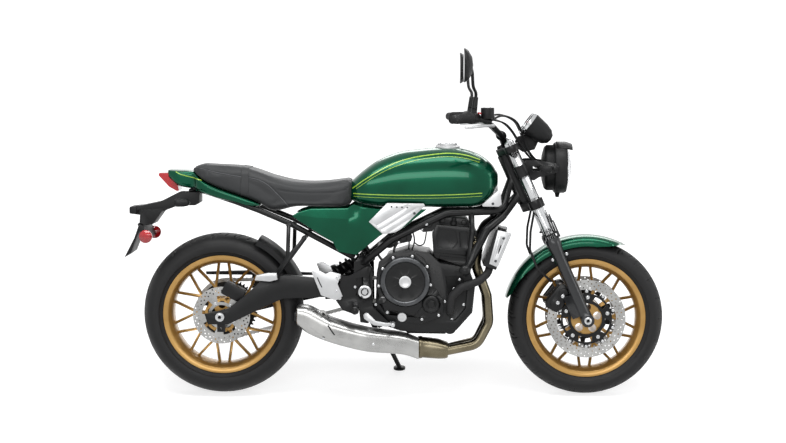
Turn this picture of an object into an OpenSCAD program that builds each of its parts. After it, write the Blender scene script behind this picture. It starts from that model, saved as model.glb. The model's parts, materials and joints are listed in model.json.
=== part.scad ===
// Standard motorcycle, parked on its side stand.
// Millimetres. Modelled upright: X points forward, Y to the bike's left, Z up,
// with the rear axle over x = 0 and the ground at z = 0. park() then leans it
// onto the stand and moves the origin to the bottom centre of its box.

/* [Stance] */
// Distance between the wheel centres
wheelbase = 1405; // [1380:5:1430]
// Angle of the steering axis from upright
rake = 24; // [23:0.5:25]
// Distance of the fork legs ahead of the steering axis
fork_offset = 31; // [28:1:34]
// Angle that the parked bike leans to its left
lean_deg = 10; // [8:0.5:11]

/* [Tyres and rims] */
// Outer radius of the front tyre
front_tyre_r = 300; // [296:1:303]
// Width of the front tyre
front_tyre_w = 120; // [110:1:124]
// Outer radius of the rear tyre
rear_tyre_r = 312; // [308:1:315]
// Width of the rear tyre
rear_tyre_w = 160; // [150:1:164]
// Radius where the tyre beads sit on the rims
bead_r = 219; // [216:1:220]
// Height of the rim flanges above the bead seat
flange_h = 10; // [8:0.5:12]
// Width of the front rim over its flanges
front_rim_w = 100; // [94:1:102]
// Width of the rear rim over its flanges
rear_rim_w = 132; // [124:1:136]
// Number of spoke pairs
spoke_pairs = 10; // [8:1:10]
// Thickness of a spoke along the axle
spoke_t = 20; // [16:1:24]
// Radius of the axles
axle_r = 10; // [9:0.5:12]
// Radius of the hole through the axles
axle_bore_r = 6.5; // [5:0.5:7]
// Running clearance of hubs on axles and of the stem in the head tube
run_gap = 0.1; // [0.05:0.01:0.1]

/* [Brakes and drive] */
// Outer radius of the front brake discs
front_disc_r = 150; // [145:1:155]
// Outer radius of the rear brake disc
rear_disc_r = 110; // [105:1:115]
// Thickness of the brake discs
disc_t = 4.5; // [4:0.5:5]
// Distance of the front discs' middle from the bike's middle
front_disc_y = 68; // [67:0.5:68.5]
// Distance of the rear disc's middle from the bike's middle
rear_disc_y = 88; // [86:0.5:90]
// Clearance of a disc in its caliper, each side
disc_gap = 2; // [1.5:0.25:3]
// Pitch of the drive chain
chain_pitch = 15.875; // [15.875:0.001:15.875]
// Teeth of the rear sprocket
rear_teeth = 46; // [44:1:47]
// Teeth of the front sprocket
front_teeth = 15; // [14:1:16]
// Distance of the chain's middle from the bike's middle
chain_y = 96; // [94:0.5:98]

/* [Fork and steering] */
// Distance of each fork leg from the bike's middle
leg_y = 103; // [102:0.5:106]
// Radius of the chromed fork tubes
tube_r = 20.5; // [19:0.5:21.5]
// Radius of the fork sliders
slider_r = 25; // [24.5:0.5:26]
// Length of the sliders above the axle, along the fork
slider_l = 344; // [335:1:350]
// Distance of the lower clamp above the axle, along the fork
lower_clamp = 487; // [480:1:495]
// Distance of the upper clamp above the axle, along the fork
upper_clamp = 718; // [710:1:725]
// Radius of the steering stem
stem_r = 18; // [16:0.5:20]
// Radius of the handlebar tube
bar_r = 11.1; // [10:0.1:12.7]
// Distance of the bar ends from the bike's middle
bar_y = 400; // [380:5:410]
// Radius of the grips
grip_r = 16.5; // [15:0.5:18]

/* [Lamps and gauges] */
// Radius of the headlight
lamp_r = 98; // [94:1:100]
// Height of the headlight's middle
lamp_z = 880; // [875:1:885]
// Radius of a gauge
gauge_r = 44; // [42:0.5:46]
// Distance of each gauge from the bike's middle
gauge_y = 50; // [48:0.5:54]

/* [Body] */
// Half width of the fuel tank at its widest
tank_w = 128; // [120:1:132]
// Half width of the seat at its widest
seat_w = 122; // [115:1:128]
// Radius of the fuel cap
cap_r = 38; // [34:1:40]
// Thickness of the fenders and covers
panel_t = 3; // [2.5:0.5:4]

/* [Frame and stand] */
// Radius of the main frame tubes
frame_r = 14; // [12:0.5:15]
// Radius of the lighter frame tubes
brace_r = 9; // [8:0.5:10]
// Distance of the main tubes from the bike's middle
spar_y = 111; // [108:1:112]
// Distance of the engine hangers from the bike's middle
hanger_y = 134; // [131:1:136]
// Distance of the side stand's foot from the bike's middle, when it is down
stand_foot_y = 262; // [255:1:268]
// Thickness of the side stand's foot
stand_pad_t = 8; // [6:0.5:10]

/* [Hidden] */

$fa = 6;
$fs = 2;

// Middle of the leaned bike's box, from the point under the rear axle
park_x = 664.5;
park_y = 194;

// A tyre's crown is half an ellipse, this share of the tyre's height deep.
// Leaned, the tyre rests on its flank.
crown_share = 0.56;

// Points on the bike that several pieces share
front_axle_z = axle_height(front_tyre_r, front_tyre_w);
rear_axle_z = axle_height(rear_tyre_r, rear_tyre_w);
pivot = [553, 0, 412];
drive = [640, 0, 402];
engine_y = 110;
plate_in = 104;
plate_out = 118;
pivot_y = 84;
stand_pivot = [620, 122, 205];
stand_foot = [680, stand_foot_y,
    (stand_pad_t + stand_foot_y * sin(lean_deg)) / cos(lean_deg)];
stand_down = unit(stand_foot - stand_pivot);
stand_folded = unit([-0.97, 0.22, 0.1]);
stand_axis = unit(cross(stand_down, stand_folded));
tube_sides = 12;

function crown_depth(r) = (r - bead_r) * crown_share;
function axle_height(r, w) = r - crown_depth(r)
    + norm([crown_depth(r) * cos(lean_deg), w / 2 * sin(lean_deg)]) / cos(lean_deg);

function unit(v) = v / norm(v);
function mix(a, b, t) = a + (b - a) * t;
function fork_pt(t, y = 0, ahead = 0) =
    [wheelbase - t * sin(rake), y, front_axle_z + t * cos(rake)]
    + ahead * [cos(rake), 0, sin(rake)];

// A point, or an outline in the side view, measured from the front axle
function nose(x, y, z) = [wheelbase + x, y, z];
function ahead(outline) = [for (p = outline) [wheelbase + p.x, p.y]];

module park() {
    translate([-park_x, -park_y, 0]) rotate([-lean_deg, 0, 0]) children();
}

module both_sides() {
    children();
    mirror([0, 1, 0]) children();
}

// A flat plate in the bike's side view, from y0 to y1
module side_plate(outline, y0, y1) {
    translate([0, y1, 0]) rotate([90, 0, 0]) linear_extrude(y1 - y0) polygon(outline);
}

// A cylinder across the bike, from y0 to y1
module across(x, z, r, y0, y1) {
    translate([x, y1, z]) rotate([90, 0, 0]) cylinder(h = y1 - y0, r = r);
}

// A turned piece on a line across the bike, built out from y to the right
module turned(x, z, y, profile) {
    translate([x, y, z]) rotate([90, 0, 0]) rotate_extrude() polygon(profile);
}

// A straight round bar from a to b
module rod(a, b, r, r_end = 0) {
    d = b - a;
    translate(a) rotate([0, acos(d.z / norm(d)), atan2(d.y, d.x)])
        cylinder(h = norm(d), r1 = r, r2 = r_end > 0 ? r_end : r);
}

// Turns the fork's own frame upright: Z up the legs, X forward
module on_fork(t, y = 0, ahead = 0) {
    translate(fork_pt(t, y, ahead)) rotate([0, -rake, 0]) children();
}

// Closed skin over a row of rings with the same number of points
module skin(rings) {
    n = len(rings[0]);
    m = len(rings);
    sides = [for (i = [0 : m - 2], j = [0 : n - 1], k = [0, 1])
        let (a = i * n + j, b = i * n + (j + 1) % n)
        k == 0 ? [a, b, b + n] : [a, b + n, a + n]];
    ends = [[for (j = [n - 1 : -1 : 0]) j], [for (j = [0 : n - 1]) (m - 1) * n + j]];
    polyhedron([for (r = rings, p = r) p], concat(sides, ends));
}

// Cuts the corners of a path into arcs of about the given radius
function bend(a, b, c, r, steps = 4) =
    let (u = unit(a - b), v = unit(c - b), half = acos(u * v) / 2,
        reach = min(r / tan(half), norm(a - b) * 0.45, norm(c - b) * 0.45))
    [for (k = [0 : steps]) let (t = k / steps)
        b + u * reach * (1 - t) * (1 - t) + v * reach * t * t];
function bent_path(p, r) = concat([p[0]],
    [for (i = [1 : 1 : len(p) - 2]) each bend(p[i - 1], p[i], p[i + 1], r)],
    [p[len(p) - 1]]);

// Frames that follow a path without twisting
function path_dir(p, i) = unit(
    (i < len(p) - 1 ? unit(p[i + 1] - p[i]) : [0, 0, 0])
    + (i > 0 ? unit(p[i] - p[i - 1]) : [0, 0, 0]));
function path_sides(p) = [
    for (i = 0, d = path_dir(p, 0), s = unit(cross(d, abs(d.z) < 0.9 ? [0, 0, 1] : [0, 1, 0]));
        i < len(p);
        i = i + 1, d = i < len(p) ? path_dir(p, i) : d, s = unit(s - d * (s * d)))
    s];

// A bent round tube along hand-picked points
module tube(points, r, bend_r = 40, sides = tube_sides) {
    p = bent_path(points, bend_r);
    s = path_sides(p);
    skin([for (i = [0 : len(p) - 1])
        let (d = path_dir(p, i), w = cross(s[i], d))
        [for (k = [0 : sides - 1]) let (a = 360 * k / sides)
            p[i] + r * (cos(a) * s[i] + sin(a) * w)]]);
}

// A spring of round wire between a and b
module coil(a, b, r, wire, turns) {
    d = unit(b - a);
    u = [0, 1, 0];
    w = cross(d, u);
    p = [for (k = [0 : turns * 10]) let (t = 36 * k)
        mix(a, b, k / turns / 10) + r * (cos(t) * u + sin(t) * w)];
    side = path_sides(p);
    skin([for (i = [0 : len(p) - 1]) let (e = path_dir(p, i), f = cross(side[i], e))
        [for (k = [0 : 5]) p[i] + wire * (cos(60 * k) * side[i] + sin(60 * k) * f)]]);
}

// Cross-section ring across the bike at x: half width w, from z0 to z1, widest at zw
function body_ring(x, w, z0, zw, z1, round_up = 0.75, round_down = 0.4, n = 24) =
    [for (k = [0 : n - 1]) let (a = 360 * k / n, c = cos(a), s = sin(a),
        e = s > 0 ? round_up : round_down)
        [x, -w * sign(c) * pow(abs(c), e),
            zw + (s > 0 ? z1 - zw : zw - z0) * sign(s) * pow(abs(s), e)]];

// Fork and steering

fender_t = 262;

module fork_tubes() {
    color("silver") park() both_sides() on_fork(slider_l - 60, leg_y) {
        cylinder(h = upper_clamp + 24 - slider_l + 60, r = tube_r);
        translate([0, 0, upper_clamp + 24 - slider_l + 60]) cylinder(h = 6, r1 = 15, r2 = 13);
    }
}

module fork_sliders() {
    color("#26282a") park() both_sides() difference() {
        union() {
            on_fork(-20, leg_y) rotate_extrude() polygon([[0, 0], [slider_r - 4, 0],
                [slider_r - 1, 30], [slider_r - 3, 60], [slider_r - 3, slider_l - 60],
                [slider_r, slider_l - 30], [slider_r + 4, slider_l - 8],
                [slider_r + 4, slider_l + 12], [slider_r + 1, slider_l + 16],
                [slider_r + 1, slider_l + 20], [0, slider_l + 20]]);
            across(wheelbase, front_axle_z, 25, leg_y - slider_r, leg_y + slider_r);
            on_fork(70, leg_y, -30) rotate([90, 0, 0])
                linear_extrude(14, center = true) square([40, 90], center = true);
            on_fork(slider_l - 6, leg_y, slider_r) {
                translate([0, -14, 0]) cube([10, 28, 24]);
                translate([4, -12, 20]) cube([6, 24, 46]);
                translate([0, -8, 62]) cube([6, 16, 32]);
            }
            on_fork(fender_t, leg_y) translate([-18, 0.3 - slider_r, -22]) cube([36, 8, 38]);
        }
        on_fork(slider_l - 60 - run_gap, leg_y) cylinder(h = 80, r = tube_r + run_gap);
        across(wheelbase, front_axle_z, axle_r + run_gap, leg_y - 40, leg_y + 40);
    }
}

module triple_clamps() {
    color("#1c1d1f") park() difference() {
        union() {
            for (c = [[lower_clamp, 34], [upper_clamp, 26]]) on_fork(c[0] - c[1] / 2) {
                both_sides() translate([0, leg_y, 0]) cylinder(h = c[1], r = tube_r + 9);
                linear_extrude(c[1]) polygon([[22, -leg_y], [22, leg_y], [-10, leg_y],
                    [-fork_offset - 26, 24], [-fork_offset - 26, -24], [-10, -leg_y]]);
            }
            on_fork(lower_clamp, 0, -fork_offset)
                cylinder(h = upper_clamp - lower_clamp + 20, r = stem_r);
            on_fork(upper_clamp, 0, -fork_offset) cylinder(h = 24, r = 17);
        }
        both_sides() on_fork(lower_clamp - 60, leg_y)
            cylinder(h = upper_clamp - lower_clamp + 120, r = tube_r + run_gap);
    }
}

riser_h = 44;
bar_clamp = fork_pt(upper_clamp + 13 + riser_h, 0, -15);
bar_path = [bar_clamp, bar_clamp + [0, 60, 0], nose(-369, 130, 1044),
    nose(-420, 215, 1076), nose(-516, bar_y, 1072)];
grip_in = mix(bar_path[3], bar_path[4], 0.36);
bar_dir = unit(bar_path[4] - bar_path[3]);
perch = grip_in - bar_dir * 22;
mirror_up = unit([4, -2, 32]);
mirror_base = perch + mirror_up * 32;

module handlebar() {
    color("#1b1c1e") park() {
        tube(concat([for (i = [4 : -1 : 1]) [bar_path[i].x, -bar_path[i].y, bar_path[i].z]],
            [for (i = [1 : 4]) bar_path[i]]), bar_r, 60);
        both_sides() {
            on_fork(upper_clamp + 13, 36, -15) cylinder(h = riser_h, r = 13);
            translate([0, 36, 0]) across(bar_clamp.x, bar_clamp.z, 19, -13, 13);
        }
    }
}

module grips() {
    color("#161616") park() both_sides() difference() {
        union() {
            rod(grip_in, bar_path[4] - bar_dir * 6, grip_r);
            rod(grip_in, grip_in + bar_dir * 8, grip_r + 4);
            rod(bar_path[4] - bar_dir * 5, bar_path[4] + bar_dir * 18, grip_r - 1);
        }
        rod(grip_in - bar_dir * 5, bar_path[4] + bar_dir * run_gap, bar_r + run_gap);
    }
}

master = nose(-391, 246, 1072);

module switch_housings() {
    color("#1d1e20") park() both_sides() difference() {
        union() {
            rod(grip_in - bar_dir * 42, grip_in - bar_dir * 2, 22);
            rod(perch, mirror_base, 11);
            rod(perch - bar_dir * 16, nose(-375, 246, 1060), 12, 10);
        }
        rod(grip_in - bar_dir * 90, grip_in + bar_dir * 5, bar_r + run_gap);
    }
    color("#1d1e20") park() mirror([0, 1, 0]) {
        translate(master) cylinder(h = 41, r = 25);
    }
}

module levers() {
    color("silver") park() both_sides() {
        tube([nose(-367, 256, 1046), nose(-405, 290, 1047), nose(-475, 395, 1042)], 6, 20, 10);
    }
}

mirror_c = nose(-473, 342, 1268);

module mirrors() {
    color("#202224") park() both_sides() {
        difference() {
            translate(mirror_c) rotate([0, -90, 0]) rotate_extrude()
                polygon([[0, -26], [30, -22], [54, -8], [62, 4], [62, 8], [0, 8]]);
            translate(mirror_c - [8.1, 0, 0]) rotate([0, 90, 0]) cylinder(h = 3, r = 57);
        }
        tube([mirror_base + mirror_up * 20, mirror_base + mirror_up * 60,
            nose(-447, 312, 1190), nose(-450, 330, 1240), mirror_c + [18, -4, -6]], 6, 40);
        rod(mirror_base, mirror_base + mirror_up * 46, 11, 9.5);
    }
}

module mirror_glass() {
    color("lightgray") park() both_sides()
        translate(mirror_c - [8, 0, 0]) rotate([0, 90, 0]) cylinder(h = 2.8, r = 56.8);
}

gauge_face = nose(-230, gauge_y, 1056);
gauge_tilt = -52.5;
clamp_low = fork_pt(upper_clamp - 13, 0, 22);
clamp_high = fork_pt(upper_clamp + 13, 0, 22);

module gauges() {
    color("#2b2e31") park() {
        both_sides() translate(gauge_face) rotate([0, gauge_tilt, 0]) difference() {
            rotate_extrude() polygon([[0, -112], [18, -108], [32, -92], [40, -66], [gauge_r, -30],
                [gauge_r + 2, -14], [gauge_r + 4, -12], [gauge_r + 4, -2], [gauge_r + 2, 0],
                [0, 0]]);
            translate([0, 0, -6]) cylinder(h = 7, r = gauge_r - 3);
        }
        translate([gauge_face.x, 0, gauge_face.z]) rotate([0, gauge_tilt, 0])
            translate([0, 0, -48]) cube([50, 2 * gauge_y - 60, 40], center = true);
        side_plate(concat([[clamp_low.x, clamp_low.z], [clamp_high.x, clamp_high.z]],
            ahead([[-265, 1000], [-225, 1010], [-177, 1000], [-200, 950], [-245, 940]])), -14, 14);
    }
}

module gauge_faces() {
    color("black") park() both_sides() translate(gauge_face) rotate([0, gauge_tilt, 0])
        translate([0, 0, -6]) cylinder(h = 3, r = gauge_r - 3.2);
}

lamp_front = wheelbase - 87;

module headlight_shell() {
    color("#1a1b1d") park() translate([lamp_front, 0, lamp_z]) rotate([0, 90, 0]) {
        rotate_extrude() polygon([[0, -86], [52, -84], [80, -76], [88, -66], [88, -42],
            [lamp_r - 3, -38], [lamp_r, -34], [lamp_r, 0], [lamp_r - 3, 6], [lamp_r - 8, 6],
            [lamp_r - 10, 0], [70, -34], [34, -56], [0, -60]]);
        translate([0, 0, -62]) cylinder(h = 38, r = 15);
        rotate_extrude() polygon([[30, -30], [34, -32], [36, -12], [33, -12]]);
        for (k = [0 : 2]) rotate(120 * k + 30) translate([13, -2, -34]) cube([19, 4, 10]);
        rotate(140) rotate_extrude(angle = 80) polygon([[lamp_r - 1, -30], [lamp_r + 3, -30],
            [lamp_r + 3, 6], [lamp_r - 5, 30], [lamp_r - 8, 29], [lamp_r - 2, 5]]);
    }
    color("#1a1b1d") park() side_plate([[lamp_front - 34, lamp_z - lamp_r + 2],
        [lamp_front - 14, lamp_z - lamp_r + 2], [lamp_front - 18, lamp_z - lamp_r - 16],
        [lamp_front - 30, lamp_z - lamp_r - 16]], -8, 8);
}

module headlight_lens() {
    color("white") park() translate([lamp_front, 0, lamp_z]) rotate([0, 90, 0])
        rotate_extrude() polygon([[0, 29], [30, 27.5], [58, 22], [78, 13], [lamp_r - 10.3, 6.3],
            [lamp_r - 10.3, 0.3], [lamp_r - 13, 0.3], [75, 9.5], [56, 18.5], [29, 24], [0, 25.5]]);
}

module headlight_brackets() {
    color("#1c1d1f") park() both_sides() {
        difference() {
            union() {
                on_fork(602, leg_y) cylinder(h = 46, r = tube_r + 5);
                side_plate(ahead([[-265, 888], [-237, 912], [-217, 913], [-133, 904],
                    [-117, 897], [-111, 883], [-117, 869], [-129, 863], [-189, 848],
                    [-207, 836], [-229, 838]]), leg_y, leg_y + 5);
            }
            on_fork(560, leg_y) cylinder(h = 130, r = tube_r + run_gap);
            translate(nose(-212, leg_y - 1, 872)) cube([30, 7, 20]);
        }
        across(lamp_front - 42, lamp_z + 2, 10, lamp_r + 0.3, leg_y);
        across(lamp_front - 42, lamp_z + 2, 8, leg_y + 5, leg_y + 9);
    }
}

// A small oval indicator housing, centred on z, from its back to its lens
module indicator(back, lens, z) {
    rings = [[0, 8, 6], [0.15, 19, 12], [0.45, 24, 15], [0.8, 26, 15.5], [1, 25, 14.5]];
    skin([for (i = [0 : 4]) let (r = rings[back < lens ? i : 4 - i])
        body_ring(mix(back, lens, r[0]), r[1], z - r[2], z, z + r[2], 0.8, 0.8, 16)]);
}

module front_indicators() {
    color("#1b1c1e") park() both_sides() {
        across(wheelbase - 165, lamp_z + 3, 7, leg_y + 5.3, 156);
        translate([0, 172, 0]) indicator(wheelbase - 193, wheelbase - 147, lamp_z + 3);
    }
}

fender_r = front_tyre_r + 13;

module fender_section(w, depth) {
    polygon([[-w, -depth], [-w + panel_t, -depth], [-w + panel_t, -18], [-w * 0.7, -5 - panel_t],
        [0, -panel_t], [w * 0.7, -5 - panel_t], [w - panel_t, -18], [w - panel_t, -depth],
        [w, -depth], [w, -17], [w * 0.7, -5], [0, 0], [-w * 0.7, -5], [-w, -17]]);
}

// A point beside the fork leg, along and across it, where the fender is bolted
function fender_mount(across, along) =
    let (p = fork_pt(fender_t + along, 0, across)) [p.x, p.z];

module front_fender() {
    color("darkgreen") park() {
        intersection() {
            translate([wheelbase, 0, front_axle_z]) rotate([90, -62, 0])
                rotate_extrude(angle = 104) translate([fender_r + 8, 0]) rotate(-90)
                fender_section(69, 50);
            translate([wheelbase, 0, front_axle_z]) side_plate([[-340, 60], [-287, 86],
                [-262, 142], [-210, 194], [-140, 244], [-62, 272], [40, 277], [112, 282],
                [150, 290], [170, 340], [-60, 360], [-300, 240]], -90, 90);
        }
        both_sides() side_plate([fender_mount(-20, -24), fender_mount(20, -24),
            fender_mount(24, 16), fender_mount(-24, 16)], 67, leg_y - slider_r);
    }
}

module front_axle() {
    color("silver") park() difference() {
        union() {
            across(wheelbase, front_axle_z, axle_r, -leg_y - slider_r - 3, leg_y + slider_r + 3);
            both_sides() {
                across(wheelbase, front_axle_z, 15, 62.5, leg_y - slider_r);
                across(wheelbase, front_axle_z, 14, leg_y + slider_r, leg_y + slider_r + 5);
            }
        }
        across(wheelbase, front_axle_z, axle_bore_r, -leg_y - 40, leg_y + 40);
    }
}

module front_calipers() {
    color("#1a1a1c") park() both_sides() difference() {
        translate([wheelbase, front_disc_y, front_axle_z]) rotate([90, 0, 0])
            rotate([0, 0, 143]) translate([136, 0, 0]) {
                linear_extrude(44, center = true)
                    polygon([[-26, -52], [18, -56], [28, -46], [30, 46], [18, 56], [-26, 50],
                        [-34, 30], [-30, 0], [-34, -30]]);
                for (y = [-27, 27]) translate([-3, y, -27]) cylinder(h = 6, r = 18);
                translate([26, 0, 0]) rotate([90, 0, 0]) cylinder(h = 84, r = 9, center = true);
            }
        translate([wheelbase, front_disc_y, front_axle_z]) rotate([90, 0, 0])
            cylinder(h = disc_t + 2 * disc_gap, r = front_disc_r + 4, center = true);
        on_fork(-20, leg_y) cylinder(h = slider_l + 20, r = slider_r + 0.1);
    }
}

module front_hoses() {
    color("#141414") park() both_sides()
        tube([fork_pt(lower_clamp - 21, 84, -16), nose(-219, 98, 640), nose(-221, 100, 570),
            nose(-193, 96, 500), nose(-137, 84, 446)], 4.5, 40, 8);
}

// Wheels

// Half of a tyre's outer profile as an ellipse-like crown and a sidewall
module tyre(r, w, rim_w) {
    rest = atan(w / 2 * tan(lean_deg) / crown_depth(r));
    crown = [for (a = [-84, -62, -42, -27, -rest, 0, rest, 27, 42, 62, 84])
        [r - crown_depth(r) * (1 - cos(a)), w / 2 * sin(a)]];
    rotate_extrude($fn = 48) polygon(concat(
        [[bead_r, -rim_w / 2 + 8], [bead_r + flange_h, -rim_w / 2 + 5],
            [bead_r + flange_h + 8, -rim_w / 2 - 1]],
        crown,
        [[bead_r + flange_h + 8, rim_w / 2 + 1], [bead_r + flange_h, rim_w / 2 - 5],
            [bead_r, rim_w / 2 - 8]]));
}

// A cast wheel: rim, hub, and spokes in pairs that spread towards the hub
module cast_wheel(rim_w, hub_w, hub_r) {
    f = rim_w / 2;
    rotate_extrude($fn = 48) polygon([[bead_r, -f + 8], [bead_r + flange_h, -f + 5],
        [bead_r + flange_h, -f], [bead_r - 6, -f], [bead_r - 16, -f + 12],
        [bead_r - 24, -f * 0.4], [bead_r - 24, f * 0.4], [bead_r - 16, f - 12],
        [bead_r - 6, f], [bead_r + flange_h, f], [bead_r + flange_h, f - 5], [bead_r, f - 8]]);
    difference() {
        cylinder(h = hub_w, r = hub_r, center = true);
        for (k = [0 : 4]) rotate(72 * k + 15) translate([hub_r * 0.62, 0, 0])
            linear_extrude(hub_w + 2, center = true) circle(r = hub_r * 0.22);
        cylinder(h = hub_w + 2, r = axle_r + run_gap, center = true);
    }
    linear_extrude(spoke_t, center = true)
        for (k = [0 : spoke_pairs - 1], s = [-1, 1]) rotate(360 * k / spoke_pairs + 90)
            polygon([[hub_r - 8, s * 13], [102, s * 27], [bead_r - 20, s * 13],
                [bead_r - 20, s * 23], [102, s * 36], [hub_r - 8, s * 24]]);
}

module front_tyre() {
    color("#1a1a1a") park() translate([wheelbase, 0, front_axle_z]) rotate([90, 0, 0])
        tyre(front_tyre_r, front_tyre_w, front_rim_w);
}

module front_rim() {
    color("goldenrod") park() translate([wheelbase, 0, front_axle_z]) rotate([90, 0, 0]) {
        cast_wheel(front_rim_w, 2 * (front_disc_y - disc_t / 2 - 3.5), 70);
    }
}

module disc(r, inner_r) {
    difference() {
        cylinder(h = disc_t, r = r, center = true);
        cylinder(h = disc_t + 2, r = inner_r, center = true);
    }
}

module front_discs() {
    color("silver") park() translate([wheelbase, 0, front_axle_z]) rotate([90, 0, 0])
        for (s = [-1, 1]) translate([0, 0, s * front_disc_y]) {
            disc(front_disc_r, 113);
            difference() {
                union() {
                    cylinder(h = disc_t, r = 98, center = true);
                    for (k = [0 : 9]) rotate(36 * k + 18)
                        translate([104, 0, 0]) cube([22, 17, disc_t], center = true);
                }
                cylinder(h = disc_t + 2, r = 76, center = true);
                for (k = [0 : 4]) rotate(72 * k + 87) translate([87, 0, 0])
                    cylinder(h = 8, r = 8, center = true);
            }
            for (k = [0 : 9]) rotate(36 * k + 18) translate([107, 0, 0])
                cylinder(h = disc_t + 0.8, r = 6.5, center = true);
            translate([0, 0, -s * (disc_t / 2 + 1.75)]) difference() {
                cylinder(h = 3.5, r = 80, center = true);
                cylinder(h = 5, r = 58, center = true);
            }
        }
}

module rear_tyre() {
    color("#1a1a1a") park() translate([0, 0, rear_axle_z]) rotate([90, 0, 0])
        tyre(rear_tyre_r, rear_tyre_w, rear_rim_w);
}

module rear_rim() {
    color("goldenrod") park() translate([0, 0, rear_axle_z]) rotate([90, 0, 0])
        cast_wheel(rear_rim_w, 2 * (rear_disc_y - disc_t / 2), 66);
}

module rear_disc() {
    color("silver") park() translate([0, -rear_disc_y, rear_axle_z]) rotate([90, 0, 0])
        disc(rear_disc_r, 40);
}

rear_pitch_r = chain_pitch / 2 / sin(180 / rear_teeth);
front_pitch_r = chain_pitch / 2 / sin(180 / front_teeth);

module sprocket() {
    color("#3a3a3c") park() translate([0, chain_y, rear_axle_z]) rotate([90, 0, 0])
        difference() {
            union() {
                linear_extrude(5.6, center = true) polygon([for (k = [0 : rear_teeth - 1])
                    each [for (e = [[-0.5, -5], [-0.28, -3.5], [-0.12, 4], [0.12, 4], [0.28, -3.5]])
                        [cos(360 * (k + e[0]) / rear_teeth), sin(360 * (k + e[0]) / rear_teeth)]
                            * (rear_pitch_r + e[1])]]);
                cylinder(h = chain_y - rear_disc_y + disc_t / 2 - 0.1, r = 62);
            }
            cylinder(h = 80, r = 22, center = true);
            for (k = [0 : 5]) rotate(60 * k) translate([86, 0, 0])
                cylinder(h = 8, r = 13, center = true);
        }
}

// Frame

module frame_plate() {
    side_plate([[512, 520], [548, 560], [582, 500], [584, 310], [566, 288], [536, 292],
        [528, 380], [512, 440]], plate_in, plate_out);
}

module frame() {
    color("#1c1d1f") park() {
        difference() {
            union() {
                on_fork(lower_clamp + 17.5, 0, -fork_offset)
                    cylinder(h = upper_clamp - lower_clamp - 31, r = stem_r + 12);
                both_sides() {
                    tube([fork_pt(lower_clamp + 120, 8, -fork_offset - 16), nose(-326, 96, 719),
                        [867, spar_y, 712], [655, spar_y, 610], [545, spar_y, 518]],
                        frame_r, 60);
                    tube([fork_pt(lower_clamp + 52, 8, -fork_offset - 16), nose(-326, 80, 696),
                        [1018, hanger_y - 8, 650], [937, hanger_y, 490]], frame_r + 2, 40);
                }
            }
            on_fork(lower_clamp - 20, 0, -fork_offset)
                cylinder(h = upper_clamp - lower_clamp + 60, r = stem_r + run_gap);
        }
        both_sides() {
            frame_plate();
            tube([[962, spar_y, 712], [964, hanger_y - 8, 640], [945, hanger_y - 2, 520]],
                brace_r, 20);
            across(pivot.x, pivot.z, 14, pivot_y + 0.3, plate_in);
            across(937, 494, 20, engine_y, hanger_y + 18);
        }
        across(wheelbase - 365, 704, brace_r, -100, 100);
        both_sides() side_plate(ahead([[-375, 716], [-353, 716], [-355, 758], [-373, 758]]),
            100, 106);
        across(612, 575, frame_r - 2, -spar_y, spar_y);
        rod(stand_pivot - stand_axis * 38, stand_pivot - stand_axis * 8.5, 12);
        rod(stand_pivot - stand_axis * 18, stand_pivot + stand_axis * 14, 6);
        rod(stand_pivot + stand_axis * 8.5, stand_pivot + stand_axis * 14, 10);
        rod(stand_pivot - stand_axis * 32, [566, plate_in + 5, 280], 10);
    }
}

module subframe() {
    color("#1c1d1f") park() {
        both_sides()
            tube([[514, spar_y, 540], [266, spar_y, 672], [150, 104, 720], [60, 88, 752],
                [-110, 44, 804]], frame_r - 3, 60);
        across(470, 563, brace_r, -spar_y, spar_y);
        across(30, 760, brace_r, -84, 84);
        side_plate([[-128, 786], [-84, 786], [-84, 792], [-128, 798]], -44, 44);
    }
}

crank = [708, 0, 451];
head_w = 112;
barrel_w = 100;
port_x = 961.3;

module case_outline() {
    polygon([[592, 330], [600, 470], [640, 545], [720, 572], [800, 560], [840, 520],
        [930, 505], [960, 470], [975, 430], [965, 330], [905, 262], [760, 252], [690, 258],
        [640, 275]]);
}

module engine_case() {
    color("#202123") park() {
        difference() {
            translate([0, engine_y, 0]) rotate([90, 0, 0]) linear_extrude(2 * engine_y)
                case_outline();
            side_plate([[580, 470], [665, 470], [700, 440], [700, 350], [665, 320], [580, 320]],
                82, engine_y + 1);
            both_sides() side_plate([[862, 470], [925, 470], [945, 420], [938, 345],
                [900, 300], [880, 300]], engine_y - 12, engine_y + 1);
        }
        side_plate([[700, 262], [880, 262], [862, 241], [716, 243]], -70, 70);
        across(880, 268, 24, -98, -40);
    }
}

module cylinder_head() {
    color("#222325") park() {
        difference() {
            side_plate([[820, 470], [820, 532], [816, 562], [958, 547], [954, 532], [928, 470]],
                -barrel_w, barrel_w);
            translate([0, 140, 0]) rotate([90, 0, 0]) linear_extrude(280) case_outline();
            both_sides() side_plate([[834, 527], [840, 547], [944, 537], [940, 517]],
                barrel_w - 4, barrel_w + 1);
        }
        difference() {
            side_plate([[815, 562], [810, 628], [826, 668], [port_x, 656], [980, 642],
                [984, 630], [980, 621], [port_x, 621], [port_x, 547]], -head_w, head_w);
            both_sides() {
                side_plate([[832, 580], [828, 626], [840, 650], [900, 645], [908, 600],
                    [890, 576]], head_w - 8, head_w + 1);
                side_plate([[918, 580], [914, 640], [944, 640], [948, 574]],
                    head_w - 6, head_w + 1);
            }
        }
        side_plate([[826, 667], [842, 694], [852, 699], [940, 689], [950, 680], [956, 655]],
            -92, 92);
        both_sides() for (b = [[850, 682], [932, 674]]) across(b.x, b.y, 9, 90, 97);
    }
}

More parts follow.
